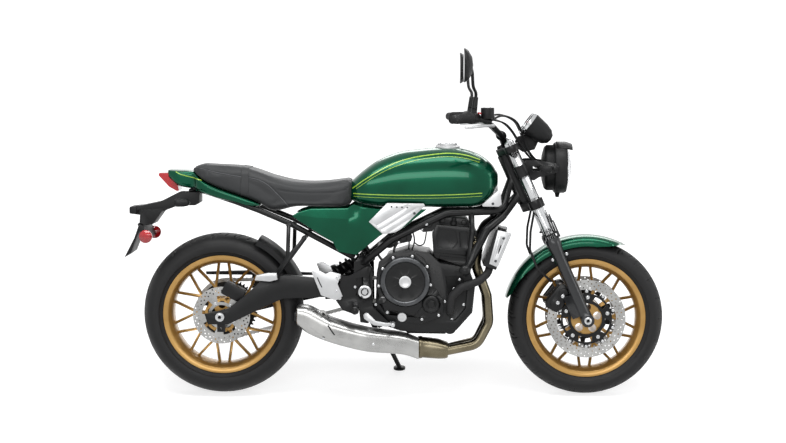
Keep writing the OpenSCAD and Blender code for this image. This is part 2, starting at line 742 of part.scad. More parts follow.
// The clutch cover's own outline and the bosses of its bolts
cover_line = [[607, 525], [639, 551], [682, 567], [735, 567], [778, 541], [804, 493],
    [807, 439], [841, 397], [857, 354], [852, 322], [820, 306], [767, 288], [682, 298],
    [629, 325], [603, 365], [597, 429], [599, 482]];
cover_bolts = [[662, 542], [735, 547], [792, 508], [805, 438], [846, 378], [836, 322],
    [772, 306], [640, 332], [613, 375], [607, 434], [622, 500]];

module clutch_cover() {
    color("#1e1f21") park() {
        difference() {
            side_plate(cover_line, -126, -engine_y);
            translate([623, -127, 382]) rotate([-90, 0, 0]) cylinder(h = 5, r = 12);
        }
        for (b = cover_bolts) across(b.x, b.y, 9.5, -131, -engine_y);
        turned(crank.x, crank.z, -125, [[0, 0], [98, 0], [98, 4], [93, 12], [92, 19], [88, 22],
            [80, 25], [77, 22], [74, 17], [26, 14], [24, 20], [21, 24], [0, 24]]);
        for (a = [20 : 45 : 335]) translate([crank.x, -137, crank.z]) rotate([0, a, 0])
            translate([22, -4, -3]) cube([56, 6, 6]);
        turned(807, 364, -125, [[0, 0], [36, 0], [34, 9], [29, 14], [20, 14], [18, 10], [0, 10]]);
        turned(696, 314, -125, [[0, 0], [18, 0], [17, 9], [0, 10]]);
        turned(623, 382, -125, [[12, 0], [17, 0], [16, 4], [12, 4]]);
        side_plate([[742, 318], [752, 330], [826, 420], [838, 408], [762, 312]], -129, -125);
    }
}

module left_covers() {
    color("#1e1f21") park() {
        mirror([0, 1, 0]) {
            turned(810, 400, -engine_y, [[0, 0], [98, 0], [98, 10], [94, 22], [84, 28], [76, 30],
                [72, 26], [30, 26], [28, 32], [0, 34]]);
            for (a = [0 : 60 : 300]) across(810 + 98 * cos(a), 400 + 98 * sin(a), 8,
                -engine_y - 14, -engine_y);
        }
        side_plate([[604, 470], [665, 475], [706, 447], [706, 345], [665, 318], [622, 322],
            [604, 345]], engine_y, 128);
        for (b = [[618, 458], [680, 458], [640, 330]]) across(b.x, b.y, 8, 127, 132);
    }
}

module radiator() {
    color("#151515") park() translate([1005, 0, 513]) rotate([0, 18.7, 0]) {
        translate([0, -120, 0]) cube([38, 240, 146.7]);
        both_sides() translate([0, 118, 0]) cube([51, 22, 146.7]);
        for (z = [0, 138.7]) translate([36, -120, z]) cube([15, 240, 8]);
        for (k = [0 : 12]) translate([36, -120, 16 + 9.2 * k]) cube([6, 240, 2.4]);
        translate([24, -104, 144]) cylinder(h = 14, r = 17);
    }
}

module radiator_covers() {
    color("silver") park() both_sides() difference() {
        union() {
            side_plate([[1060, 649], [1110, 638], [1110, 630], [1061, 512], [1054, 510],
                [1027, 521]], 140.3, 146);
            side_plate([[1067, 640], [1101, 632], [1055, 520], [1036, 528]], 145, 151);
        }
        side_plate([[1073, 618], [1082, 616], [1058, 550], [1049, 553]], 143, 152);
    }
}

module coolant_hose() {
    color("#161616") park()
        tube([[1029.3, -120, 504.1], [1022, -120, 481], [990, -140, 455], [920, -152, 430],
            [884, -152, 395], [880, -146, 337], [880, -engine_y, 337]], 15, 30);
}

header_r = 19;
header_bend = 21;
port_z = 590;

module headers() {
    color("#8a7a60") park() {
        for (y = [-60, 60]) {
            rod([port_x + 0.3, y, port_z], [port_x + 7, y, port_z], header_r + 9);
            translate([port_x + 4, y, port_z - header_bend]) rotate([90, 0, 0])
                rotate_extrude(angle = 90, $fn = 24) translate([header_bend, 0])
                circle(header_r + 0.5);
            tube([[port_x + 4 + header_bend, y, port_z - header_bend + 3], [978, y, 510],
                [1022, y, 390], [1030, y, 285], [985, y * 0.7 - 24, 200],
                [870, y * 0.4 - 52, 178], [790, y * 0.36 - 60, 185]], header_r, 60);
        }
        translate([0, -66, 0]) skin([body_ring(760, 44, 150, 190, 230, 0.9, 0.9),
            body_ring(830, 48, 146, 184, 222, 0.9, 0.9)]);
    }
}

// The muffler's rings: x, half width, and heights of its bottom, widest place and top
muffler_rings = [[300, 58, 282, 322, 360], [340, 66, 250, 305, 356], [430, 70, 214, 262, 310],
    [560, 70, 182, 235, 272], [700, 60, 168, 215, 250], [760, 44, 150, 190, 230]];
muffler_side = -182;

guard_line = [[325, 344], [400, 344], [432, 290], [619, 234], [609, 199], [566, 199],
    [392, 249], [325, 300]];

module muffler_skin(grow) {
    skin([for (m = muffler_rings)
        [for (p = body_ring(m[0], m[1] + grow, m[2] - grow, m[3], m[4] + grow, 0.6, 0.6))
            p + [0, muffler_side + m[1] + max(0, m[0] - 560) * 0.16, 0]]]);
}

module muffler() {
    color("silver") park() difference() {
        union() {
            muffler_skin(0);
            intersection() {
                muffler_skin(3);
                side_plate(guard_line, -220, muffler_side + 30);
            }
        }
        rod([280, -140, 318], [352, -137, 318], 21);
    }
}

filler = [870, 0, 966];
neck_r = 26;
cap_t = 7;
cap_hinge = filler + [-cap_r - 6, 0, 3.5];

module fuel_tank() {
    color("darkgreen") park() difference() {
        union() {
            skin([
                body_ring(500, 70, 756, 790, 830),
                body_ring(540, 96, 740, 800, 866),
                body_ring(600, 108, 731, 800, 908),
                body_ring(680, 116, 730, 805, 940),
                body_ring(760, 122, 730, 810, 952),
                body_ring(850, tank_w, 730, 815, 959),
                body_ring(920, tank_w, 731, 818, 955),
                body_ring(980, 122, 733, 820, 938),
                body_ring(1020, 110, 752, 825, 914),
                body_ring(1045, 92, 780, 835, 890),
                body_ring(1058, 62, 808, 842, 868)]);
            translate([filler.x, 0, filler.z - 20]) cylinder(h = 20, r = cap_r + 2);
            for (y = [-13, 8]) {
                side_plate([[cap_hinge.x - 5, 940], [cap_hinge.x - 5, cap_hinge.z],
                    [cap_hinge.x + 4, cap_hinge.z], [cap_hinge.x + 4, 940]], y, y + 5);
                across(cap_hinge.x, cap_hinge.z, 4, y, y + 5);
            }
            across(cap_hinge.x, cap_hinge.z, 1.5, -10, 10);
        }
        translate([filler.x, 0, filler.z - 14]) cylinder(h = 20, r = neck_r);
    }
}

module fuel_cap() {
    color("silver") park() difference() {
        union() {
            translate([filler.x, 0, filler.z + 0.3]) cylinder(h = cap_t, r = cap_r);
            translate([cap_hinge.x, -7, cap_hinge.z - 3]) cube([12, 14, 5]);
            across(cap_hinge.x, cap_hinge.z, 3.5, -7, 7);
        }
        across(cap_hinge.x, cap_hinge.z, 1.5 + run_gap, -10, 10);
    }
}

// The curved skin that the side covers and panels follow
module flank(grow) {
    skin([for (f = [[250, 124], [330, 130], [450, 134], [600, 135], [700, 133], [800, 127]])
        body_ring(f[0], f[1] + grow, 500, 650, 790, 0.3, 0.3)]);
}

module flank_piece(outline, low, high) {
    intersection() {
        difference() {
            flank(high);
            flank(low);
        }
        side_plate(outline, 100, 160);
    }
}

cover_side = [[276, 700], [483, 712], [505, 727], [790, 727], [756, 700], [700, 655],
    [690, 652], [617, 630], [522, 552], [450, 564], [434, 600], [388, 628], [308, 678]];
panel_side = [[639, 751], [778, 749], [783, 741], [693, 653], [671, 640], [624, 632],
    [570, 680]];

module side_covers() {
    color("darkgreen") park() both_sides() {
        flank_piece(cover_side, -panel_t - 1, 0);
        for (b = [[300, 690], [500, 600]]) across(b.x, b.y, 5, spar_y + frame_r + 0.3, 128);
    }
}

module side_panels() {
    color("silver") park() both_sides() {
        difference() {
            flank_piece(panel_side, 0.3, 5);
            flank_piece([[598, 668], [722, 745], [726, 739], [602, 662]], 3.5, 6);
            flank_piece([[614, 652], [746, 734], [750, 728], [618, 646]], 3.5, 6);
            flank_piece([[638, 640], [758, 716], [762, 710], [644, 634]], 3.5, 6);
        }
        side_plate(ahead([[-406, 743], [-336, 807], [-331, 745], [-342, 737], [-401, 737]]),
            118, 122);
        across(wheelbase - 364, 748, 7, 106.3, 119);
    }
}

// The seat's underside and the cowl's top follow one line: x, half width, height
under_seat = [[-108, 60, 868], [-92, 80, 852], [-65, 90, 831], [-18, 98, 808], [60, 108, 780],
    [103, 112, 765], [150, 116, 745]];
seat_top = [884, 894, 893, 890, 886, 880, 866];

module seat() {
    color("#2a2b2d") park() skin(concat(
        [for (i = [0 : len(under_seat) - 1]) let (u = under_seat[i])
            body_ring(u.x, u.y, u.z, mix(u.z, seat_top[i], 0.55), seat_top[i], 0.5, 0.3)],
        [body_ring(200, seat_w, 716, 800, 848, 0.5, 0.4),
        body_ring(290, seat_w, 732, 780, 828, 0.5, 0.4),
        body_ring(380, seat_w, 732, 775, 825, 0.5, 0.4),
        body_ring(470, 110, 732, 778, 835, 0.5, 0.4),
        body_ring(496, 90, 740, 790, 842, 0.5, 0.4)]));
}

cowl_under = [846, 812, 797, 790, 780, 764, 746, 734, 736];
cowl_tip = [[-206, 44, 873], [-170, 62, 872]];

// The cowl is a shell, open below, over the subframe's tubes
module cowl_skin(inset) {
    line = concat(cowl_tip, under_seat);
    skin([for (i = [0 : len(line) - 1]) let (u = line[i])
        body_ring(u.x + (i == 0 ? inset : 0), u.y - inset, cowl_under[i] - 2 * inset,
            mix(cowl_under[i], u.z, 0.6) - inset, u.z - 1 - inset, 0.4, 0.4)]);
}

module tail_cowl() {
    color("darkgreen") park() difference() {
        cowl_skin(0);
        cowl_skin(panel_t);
        translate([150 - panel_t, -130, 700]) cube([20, 260, 80]);
    }
}

// The tail light, and a round reflector on each side of the plate hanger
module red_lenses() {
    color("red") park() {
        side_plate([[-245, 851], [-242, 860], [-206.3, 860], [-206.3, 845.5],
            [-171, 811], [-166, 792], [-175, 790], [-205, 807]], -42, 42);
        both_sides() across(-287, 619, 25, 100.3, 108);
    }
}

module plate_hanger() {
    color("#1a1a1a") park() {
        side_plate([[-88, 786], [-167, 786], [-240, 749], [-314, 733], [-357, 729], [-357, 703],
            [-303, 696], [-229, 712], [-168, 735], [-104, 735], [-88, 745]], -48, 48);
        side_plate([[-357, 726], [-357, 706], [-331, 701], [-331, 731]], -56, 56);
        side_plate([[-314, 720], [-319, 656], [-267, 663], [-225, 721]], -60, 60);
        side_plate([[-319, 660], [-306, 658], [-316, 640], [-352, 552], [-376, 535],
            [-337, 610]], -72, 72);
        side_plate([[-319, 668], [-300, 662], [-280, 610], [-300, 610]], -100, 100);
    }
}

module rear_indicators() {
    color("#1b1c1e") park() both_sides() {
        across(-135, 753, 7, 48.3, 150);
        translate([0, 164, 0]) indicator(-107, -163, 753);
    }
}

// Threaded holes for stand spools, in blocks under the arms
spool_left = [16, 0, 272];
spool_right = [4, 0, 270];
spool_r = 4;
spool_depth = 18;
arm_low = 285;
arm_in = 112;
arm_out = 138;

// The cross member with its pivot tube and the lugs of the shock
module swingarm() {
    color("#1d1e20") park() {
        across(pivot.x, pivot.z, 22, -pivot_y, pivot_y);
        translate([372, 0.3 - arm_in, 388]) cube([58, arm_in + 58, 50]);
        for (y = [-24, 16]) side_plate([[386, 437], [392, 462], [406, 468], [420, 462],
            [428, 437]], y, y + 8);
        across(406, 453, 6, -17, -15.5);
        across(406, 453, 6, 15.5, 17);
        for (y = [-84, 34]) side_plate([[400, 376], [400, 430], [553, 434], [553, 390]],
            y, y + 24);
    }
}

module swing_arms() {
    color("#1d1e20") park() difference() {
        union() {
            side_plate([[-59, 324], [31, 345], [99, 398], [167, 462], [252, 476],
                [347, 466], [430, 452], [430, 396], [347, 388], [244, 386],
                [196, 365], [31, arm_low], [-47, arm_low]], -arm_out, -arm_in);
            skin([for (a = [[-55, 112, 138, 288, 326], [60, 112, 138, 290, 345],
                [200, 108, 134, 325, 385], [400, 60, 84, 372, 412], [440, 60, 84, 375, 415],
                [pivot.x - 22.3, 60, 84, 392, 432]])
                [[a[0], a[1], a[3]], [a[0], a[1], a[4]], [a[0], a[2], a[4]], [a[0], a[2], a[3]]]]);
            for (y = [-arm_out - 2, arm_out - 1]) side_plate([[-50, 296], [-50, 322], [34, 336],
                [34, 300]], y, y + 3);
        }
        across(0, rear_axle_z, axle_r + run_gap, -150, 150);
    }
}

module spool_bosses() {
    color("#1d1e20") park() {
        difference() {
            translate([spool_left.x - 15, arm_out - spool_depth, spool_left.z - 14])
                cube([30, spool_depth, arm_low - spool_left.z + 14]);
            across(spool_left.x, spool_left.z, spool_r, arm_out - spool_depth - 1, arm_out + 2);
        }
        difference() {
            translate([spool_right.x - 15, -arm_out, spool_right.z - 14])
                cube([30, spool_depth, arm_low - spool_right.z + 14]);
            across(spool_right.x, spool_right.z, spool_r, -arm_out - 2, spool_depth - arm_out + 1);
        }
    }
}

module rear_axle() {
    color("silver") park() difference() {
        union() {
            across(0, rear_axle_z, axle_r, -152, 152);
            both_sides() across(0, rear_axle_z, 17, arm_out + 2.3, 146);
            across(0, rear_axle_z, 15, -112, -rear_disc_y + disc_t / 2 - 0.3);
            across(0, rear_axle_z, 15, rear_disc_y - disc_t / 2 + 0.3, 112);
        }
        across(0, rear_axle_z, axle_bore_r, -160, 160);
    }
}

module hugger() {
    color("#1a1a1a") park() {
        translate([0, 0, rear_axle_z]) rotate([90, -20, 0])
            rotate_extrude(angle = 44) translate([rear_tyre_r + 25, 0]) rotate(-90)
            fender_section(82, 36);
    }
}

chain_span = norm([drive.x, 0, drive.z - rear_axle_z]);
chain_wrap = acos((rear_pitch_r - front_pitch_r) / chain_span);
chain_slope = atan2(drive.z - rear_axle_z, drive.x);
chain_run = chain_span * sin(chain_wrap);

// The loop's outline at a distance d from the pitch line. On the free runs each link
// has a waist, so the outline falls back by dip between the pins.
function chain_run_pts(d, dip, side) = [for (k = [2 : floor(chain_run / chain_pitch) - 2])
    each [for (w = [[0, 0], [0.5, dip]])
        let (p = [rear_pitch_r + d - w[1], -side * (k + w[0]) * chain_pitch],
            a = side * chain_wrap)
        [p.x * cos(a) - p.y * sin(a), p.x * sin(a) + p.y * cos(a)]]];
function chain_loop(d, dip = 0) = concat(
    [for (k = [0 : 20]) let (a = mix(chain_wrap, 360 - chain_wrap, k / 20))
        [cos(a), sin(a)] * (rear_pitch_r + d)],
    chain_run_pts(d, dip, -1),
    [for (k = [0 : 8]) let (a = mix(-chain_wrap, chain_wrap, k / 8))
        [chain_span, 0] + (front_pitch_r + d) * [cos(a), sin(a)]],
    [for (k = [len(chain_run_pts(d, dip, 1)) - 1 : -1 : 0]) chain_run_pts(d, dip, 1)[k]]);

module chain() {
    color("#555555") park()
        translate([0, chain_y, rear_axle_z]) rotate([90, 0, 0]) rotate(chain_slope) {
            for (s = [-1, 1]) translate([0, 0, s * 5.6]) linear_extrude(2.4, center = true)
                difference() {
                    polygon(chain_loop(7, 2.5));
                    polygon(chain_loop(-7));
                }
            for (k = [3 : 2 : floor(chain_run / chain_pitch) - 1], s = [-1, 1])
                rotate(s * chain_wrap) translate([rear_pitch_r, -s * k * chain_pitch, 0])
                cylinder(h = 10, r = 5, center = true, $fn = 6);
        }
}

module chain_guard() {
    color("#1a1a1a") park() {
        side_plate([[-84, 462], [-80, 452], [120, 450], [420, 450], [420, 456], [120, 468]],
            87, 112);
        side_plate([[90, 395], [130, 400], [130, 455], [100, 455]], 105, 112);
    }
}

module rear_shock() {
    color("#202020") park() {
        rod([414, 0, 458], [602, 0, 567], 12);
        across(406, 453, 13, -15.5, 15.5);
        rod([432, 0, 468.4], [440, 0, 473], 33);
        rod([566, 0, 546.1], [574, 0, 550.8], 33);
        rod([436, 0, 470.7], [500, 0, 507.9], 20);
        coil([438, 0, 471.9], [568, 0, 547.3], 27, 5, 6);
    }
}

module rear_caliper() {
    color("#1a1a1c") park() difference() {
        translate([0, -rear_disc_y, rear_axle_z]) rotate([90, 0, 0]) rotate([0, 0, 62])
            translate([104, 0, 0]) linear_extrude(46, center = true)
            offset(8) square([36, 70], center = true);
        translate([0, -rear_disc_y, rear_axle_z]) rotate([90, 0, 0])
            cylinder(h = disc_t + 2 * disc_gap, r = rear_disc_r + 4, center = true);
    }
}

peg_bracket = [[509, 478], [560, 507], [582, 507], [572, 470], [584, 352], [648, 290],
    [608, 271], [533, 345], [512, 324], [469, 340], [443, 377], [466, 470], [492, 472]];

module footrests() {
    color("#1c1d1f") park() both_sides() {
        tube([[266, 150, 668], [262, 151, 545], [215, 151, 474]], 8, 20);
        rod([324, 150, 617], [222, 151, 478], 8);
        for (b = [[266, 669], [324, 617]]) across(b.x, b.y, 10, spar_y + frame_r - 2.6, 152);
        difference() {
            side_plate(peg_bracket, plate_out, plate_out + 8);
            side_plate([[520, 462], [548, 468], [548, 400], [520, 396]], plate_out - 1,
                plate_out + 9);
        }
        across(554, 411, 27, plate_out + 7, plate_out + 12);
        across(520, 350, 13, plate_out + 8, 215);
        across(520, 350, 15, 208, 218);
        side_plate([[506, 372], [534, 372], [534, 342], [506, 342]], plate_out + 7, 140);
    }
}

module footrest_plates() {
    color("silver") park() both_sides() {
        across(210, 474, 11, 159.3, 172);
        side_plate([[139, 462], [146, 480], [190, 489], [222, 488], [226, 464], [196, 457]],
            168, 192);
        side_plate([[351, 490], [375, 498], [406, 481], [425, 490], [464, 480], [451, 442],
            [470, 396], [446, 380], [388, 399]], 143, 147);
        for (b = [[455, 466], [458, 388]]) across(b.x, b.y, 7, plate_out + 8.3, 144);
    }
}

module pedals() {
    color("silver") park() both_sides() {
        across(560, 318, 12, plate_out + 8.3, plate_out + 14);
        side_plate([[548, 324], [566, 330], [596, 300], [640, 292], [668, 296], [670, 286],
            [636, 278], [588, 284], [552, 308]], plate_out + 13, plate_out + 21);
        across(662, 291, 8, plate_out + 20, 190);
    }
}

module side_stand() {
    color("#2a2a2c") park() difference() {
        union() {
            rod(stand_pivot - stand_axis * 8, stand_pivot + stand_axis * 8, 15);
            rod(stand_pivot + stand_down * 13, stand_foot, 9);
            translate(stand_foot) rotate([lean_deg, 0, 0]) translate([0, 0, -stand_pad_t])
                cylinder(h = stand_pad_t, r = 24);
        }
        rod(stand_pivot - stand_axis * 20, stand_pivot + stand_axis * 20, 6 + run_gap);
    }
}

fork_tubes();
fork_sliders();
triple_clamps();
handlebar();
grips();
switch_housings();
levers();
mirrors();
mirror_glass();
gauges();
gauge_faces();
headlight_shell();
headlight_lens();
headlight_brackets();
front_indicators();
front_fender();
front_axle();
front_calipers();
front_hoses();
front_tyre();
front_rim();
front_discs();
frame();
subframe();
engine_case();
cylinder_head();
clutch_cover();
left_covers();
radiator();
radiator_covers();
coolant_hose();
headers();
muffler();
fuel_tank();
side_covers();
side_panels();
seat();
tail_cowl();
red_lenses();
plate_hanger();
rear_indicators();
swingarm();
swing_arms();
rear_axle();
hugger();
chain();
chain_guard();
rear_shock();
rear_caliper();
spool_bosses();
footrests();
footrest_plates();
pedals();
rear_tyre();
rear_rim();
rear_disc();
sprocket();
side_stand();
fuel_cap();
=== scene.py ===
"""Standard motorcycle on its side stand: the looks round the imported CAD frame."""

import json
import math

import bpy
import bmesh
import numpy as np
from mathutils import Matrix, Vector
from mathutils.bvhtree import BVHTree


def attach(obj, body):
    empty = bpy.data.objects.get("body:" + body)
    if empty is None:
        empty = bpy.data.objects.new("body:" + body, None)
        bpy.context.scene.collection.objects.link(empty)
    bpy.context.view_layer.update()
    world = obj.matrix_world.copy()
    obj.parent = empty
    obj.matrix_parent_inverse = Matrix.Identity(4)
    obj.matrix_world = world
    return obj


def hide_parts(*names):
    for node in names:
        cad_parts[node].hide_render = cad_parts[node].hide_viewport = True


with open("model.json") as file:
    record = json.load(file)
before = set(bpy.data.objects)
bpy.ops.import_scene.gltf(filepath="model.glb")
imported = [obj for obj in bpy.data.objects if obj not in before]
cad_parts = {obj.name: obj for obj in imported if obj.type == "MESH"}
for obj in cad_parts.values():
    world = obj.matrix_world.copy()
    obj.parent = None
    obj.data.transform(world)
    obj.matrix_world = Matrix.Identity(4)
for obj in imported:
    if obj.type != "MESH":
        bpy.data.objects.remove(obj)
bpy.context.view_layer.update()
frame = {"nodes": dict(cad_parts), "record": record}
nodes = frame["nodes"]
scene = bpy.context.scene
scene.view_settings.view_transform = "Standard"

# The bike is drawn upright in millimetres, with the rear axle over x = 0, then leaned
LEAN = math.radians(10)
PARK = (Matrix.Translation((-0.6645, -0.194, 0)) @ Matrix.Rotation(-LEAN, 4, "X")
        @ Matrix.Scale(0.001, 4))
UNPARK = PARK.inverted()

# Sizes that the source gives; a tyre has its outer radius, its width and its rim's width
WHEELBASE = 1405
RAKE = math.radians(24)
BEAD_R = 219
FORK_Y = 103
FORK_TOP = 742
SLIDER_TOP = 356
FENDER_BOLT = 262
FRONT_DISC_Y = 68
LAMP_FRONT = (WHEELBASE - 87, 0, 880)
GAUGE_TILT = math.radians(52.5)
GAUGE_PLACES = [(WHEELBASE - 230, y, 1056) for y in (-50, 50)]
FRONT_TYRE = (300, 120, 100)
REAR_TYRE = (312, 160, 132)


def axle_height(outer_r, width):
    crown = (outer_r - BEAD_R) * 0.56
    flank = math.hypot(crown * math.cos(LEAN), width / 2 * math.sin(LEAN))
    return outer_r - crown + flank / math.cos(LEAN)


FRONT_Z = axle_height(*FRONT_TYRE[:2])
REAR_Z = axle_height(*REAR_TYRE[:2])
FRONT_HUB = Vector((WHEELBASE, 0, FRONT_Z))
REAR_HUB = Vector((0, 0, REAR_Z))
GAUGE_OUT = Vector((-math.sin(GAUGE_TILT), 0, math.cos(GAUGE_TILT)))
RIGHT, LEFT = (0, -1, 0), (0, 1, 0)


def fork_point(t, y=0.0, ahead=0.0):
    """A point of the fork: t up along it from the axle, y across, and ahead of it."""
    return Vector((WHEELBASE - t * math.sin(RAKE) + ahead * math.cos(RAKE), y,
                   FRONT_Z + t * math.cos(RAKE) + ahead * math.sin(RAKE)))


def polar(r, degrees, y=0.0):
    """A point at radius r and an angle in a wheel's plane, y across."""
    a = math.radians(degrees)
    return Vector((r * math.cos(a), y, r * math.sin(a)))


# Camera, stage and lamps

CAMERA_EYE = (783, -6200, 1170)
CAMERA_TARGET = (659, 0, 670)


def make_camera():
    cam_data = bpy.data.cameras.new("photo_camera")
    cam_data.sensor_width = 36
    cam_data.lens = 73.4
    cam_data.clip_end = 60
    cam = bpy.data.objects.new("photo_camera", cam_data)
    scene.collection.objects.link(cam)
    eye, target = PARK @ Vector(CAMERA_EYE), PARK @ Vector(CAMERA_TARGET)
    forward = (target - eye).normalized()
    bike_up = PARK.to_3x3() @ Vector((0, 0, 1))
    right = forward.cross(bike_up).normalized()
    cam.matrix_world = (Matrix.Translation(eye)
                        @ Matrix((right, right.cross(forward), -forward)).transposed().to_4x4())
    scene.camera = cam


def shader_node(tree, kind, operation=None, values=None):
    """A shader node with its operation and the values of its inputs."""
    made = tree.nodes.new("ShaderNode" + kind)
    if operation:
        made.operation = operation
    for socket, value in (values or {}).items():
        made.inputs[socket].default_value = value
    return made


def seen_directly(tree):
    """1 on rays that show the backdrop itself: camera, mirror-like and through glass."""
    path = shader_node(tree, "LightPath")
    seen = path.outputs["Is Camera Ray"]
    for other in ("Is Glossy Ray", "Is Transmission Ray"):
        either = shader_node(tree, "Math", "MAXIMUM")
        tree.links.new(seen, either.inputs[0])
        tree.links.new(path.outputs[other], either.inputs[1])
        seen = either.outputs[0]
    return seen


def make_stage():
    world = bpy.data.worlds.new("studio")
    scene.world = world
    world.use_nodes = True
    tree = world.node_tree
    mix = shader_node(tree, "MixRGB", None, {1: (0.3, 0.3, 0.31, 1), 2: (1, 1, 1, 1)})
    tree.links.new(seen_directly(tree), mix.inputs[0])
    tree.links.new(mix.outputs[0], tree.nodes["Background"].inputs["Color"])

    half = 14
    mesh = bpy.data.meshes.new("floor")
    mesh.from_pydata([(-half, -half, 0), (half, -half, 0), (half, half, 0), (-half, half, 0)],
                     [], [(0, 1, 2, 3)])
    floor = bpy.data.objects.new("floor", mesh)
    scene.collection.objects.link(floor)
    paint = bpy.data.materials.new("pale_floor")
    paint.use_nodes = True
    tree = paint.node_tree
    tree.nodes.clear()
    diffuse = shader_node(tree, "BsdfDiffuse", None, {"Color": (0.5, 0.5, 0.5, 1)})
    glow = shader_node(tree, "Emission")
    place = shader_node(tree, "TexCoord")
    far = shader_node(tree, "VectorMath", "LENGTH")
    level = shader_node(tree, "MapRange", None, {"From Min": 1.0, "From Max": 4.5,
                                                 "To Min": 0.72, "To Max": 0.93})
    scale = shader_node(tree, "Math", "MULTIPLY")
    tree.links.new(place.outputs["Object"], far.inputs[0])
    tree.links.new(far.outputs["Value"], level.inputs["Value"])
    tree.links.new(level.outputs[0], scale.inputs[1])
    add = shader_node(tree, "AddShader")
    out = shader_node(tree, "OutputMaterial")
    tree.links.new(seen_directly(tree), scale.inputs[0])
    tree.links.new(scale.outputs[0], glow.inputs["Strength"])
    tree.links.new(diffuse.outputs[0], add.inputs[0])
    tree.links.new(glow.outputs[0], add.inputs[1])
    tree.links.new(add.outputs[0], out.inputs["Surface"])
    floor.data.materials.append(paint)


def softbox(name, where, at, size, watts):
    lamp = bpy.data.lights.new(name, "AREA")
    lamp.shape = "RECTANGLE"
    lamp.size, lamp.size_y = size
    lamp.energy = watts
    obj = bpy.data.objects.new(name, lamp)
    scene.collection.objects.link(obj)
    obj.location = where
    obj.rotation_euler = (Vector(at) - Vector(where)).to_track_quat("-Z", "Y").to_euler()


make_camera()
make_stage()
softbox("overhead", (0, -0.9, 4.2), (0, 0, 0.6), (4.6, 1.3), 140)
softbox("near_side", (-0.6, -4.8, 2.9), (0, 0, 0.6), (4.2, 1.2), 90)
softbox("far_side", (0.6, 4.4, 2.6), (0, 0, 0.6), (4.0, 1.6), 80)
softbox("front", (4.2, -1.4, 1.8), (0.4, 0, 0.7), (1.2, 2.4), 30)


# Finishes

def new_finish(name):
    made = bpy.data.materials.new(name)
    made.use_nodes = True
    return made, made.node_tree, made.node_tree.nodes["Principled BSDF"]


def grain(tree, scale, detail=3.0, stretch=(1, 1, 1)):
    """Noise on the piece's own coordinates, so many grains a metre."""
    place = shader_node(tree, "TexCoord")
    lay = shader_node(tree, "Mapping", None, {"Scale": stretch})
    noise = shader_node(tree, "TexNoise", None, {"Scale": scale, "Detail": detail})
    tree.links.new(place.outputs["Object"], lay.inputs["Vector"])
    tree.links.new(lay.outputs[0], noise.inputs["Vector"])
    return noise.outputs["Fac"]


def spread(tree, value, low, high):
    """Stretches the middle of a noise's values to the range from low to high."""
    ramp = shader_node(tree, "MapRange", None, {"From Min": 0.3, "From Max": 0.7,
                                                "To Min": low, "To Max": high})
    tree.links.new(value, ramp.inputs["Value"])
    return ramp.outputs[0]


def tint(tree, value, dark, light):
    mix = shader_node(tree, "MixRGB", None, {1: (*dark, 1), 2: (*light, 1)})
    tree.links.new(value, mix.inputs[0])
    return mix.outputs[0]


def finish(name, dark, light, metal=0.0, rough=(0.3, 0.45), patches=9.0, bumps=900.0,
           bump=0.1, depth=0.0002, coat=0.0, stretch=(1, 1, 1), sheen=0.0, shine=0.5):
    """A finish with slow colour patches, uneven gloss and a fine surface grain."""
    made, tree, shader = new_finish(name)
    slow = grain(tree, patches, 4)
    fine = grain(tree, bumps, 3, stretch)
    tree.links.new(tint(tree, spread(tree, slow, 0, 1), dark, light), shader.inputs["Base Color"])
    both = shader_node(tree, "Math", "ADD")
    tree.links.new(spread(tree, slow, rough[0], rough[1]), both.inputs[0])
    tree.links.new(spread(tree, fine, -0.03, 0.03), both.inputs[1])
    tree.links.new(both.outputs[0], shader.inputs["Roughness"])
    for socket, value in (("Metallic", metal), ("Specular IOR Level", shine),
                          ("Coat Weight", coat), ("Coat Roughness", 0.03),
                          ("Coat IOR", 1.34), ("Sheen Weight", sheen)):
        shader.inputs[socket].default_value = value
    height = shader_node(tree, "Bump", None, {"Strength": bump, "Distance": depth})
    tree.links.new(fine, height.inputs["Height"])
    tree.links.new(height.outputs[0], shader.inputs["Normal"])
    return made


def clear_finish(name, colour):
    made, tree, shader = new_finish(name)
    shader.inputs["Base Color"].default_value = (*colour, 1)
    shader.inputs["Transmission Weight"].default_value = 1.0
    shader.inputs["IOR"].default_value = 1.49
    fine = grain(tree, 260, 2)
    tree.links.new(spread(tree, fine, 0.02, 0.05), shader.inputs["Roughness"])
    return made


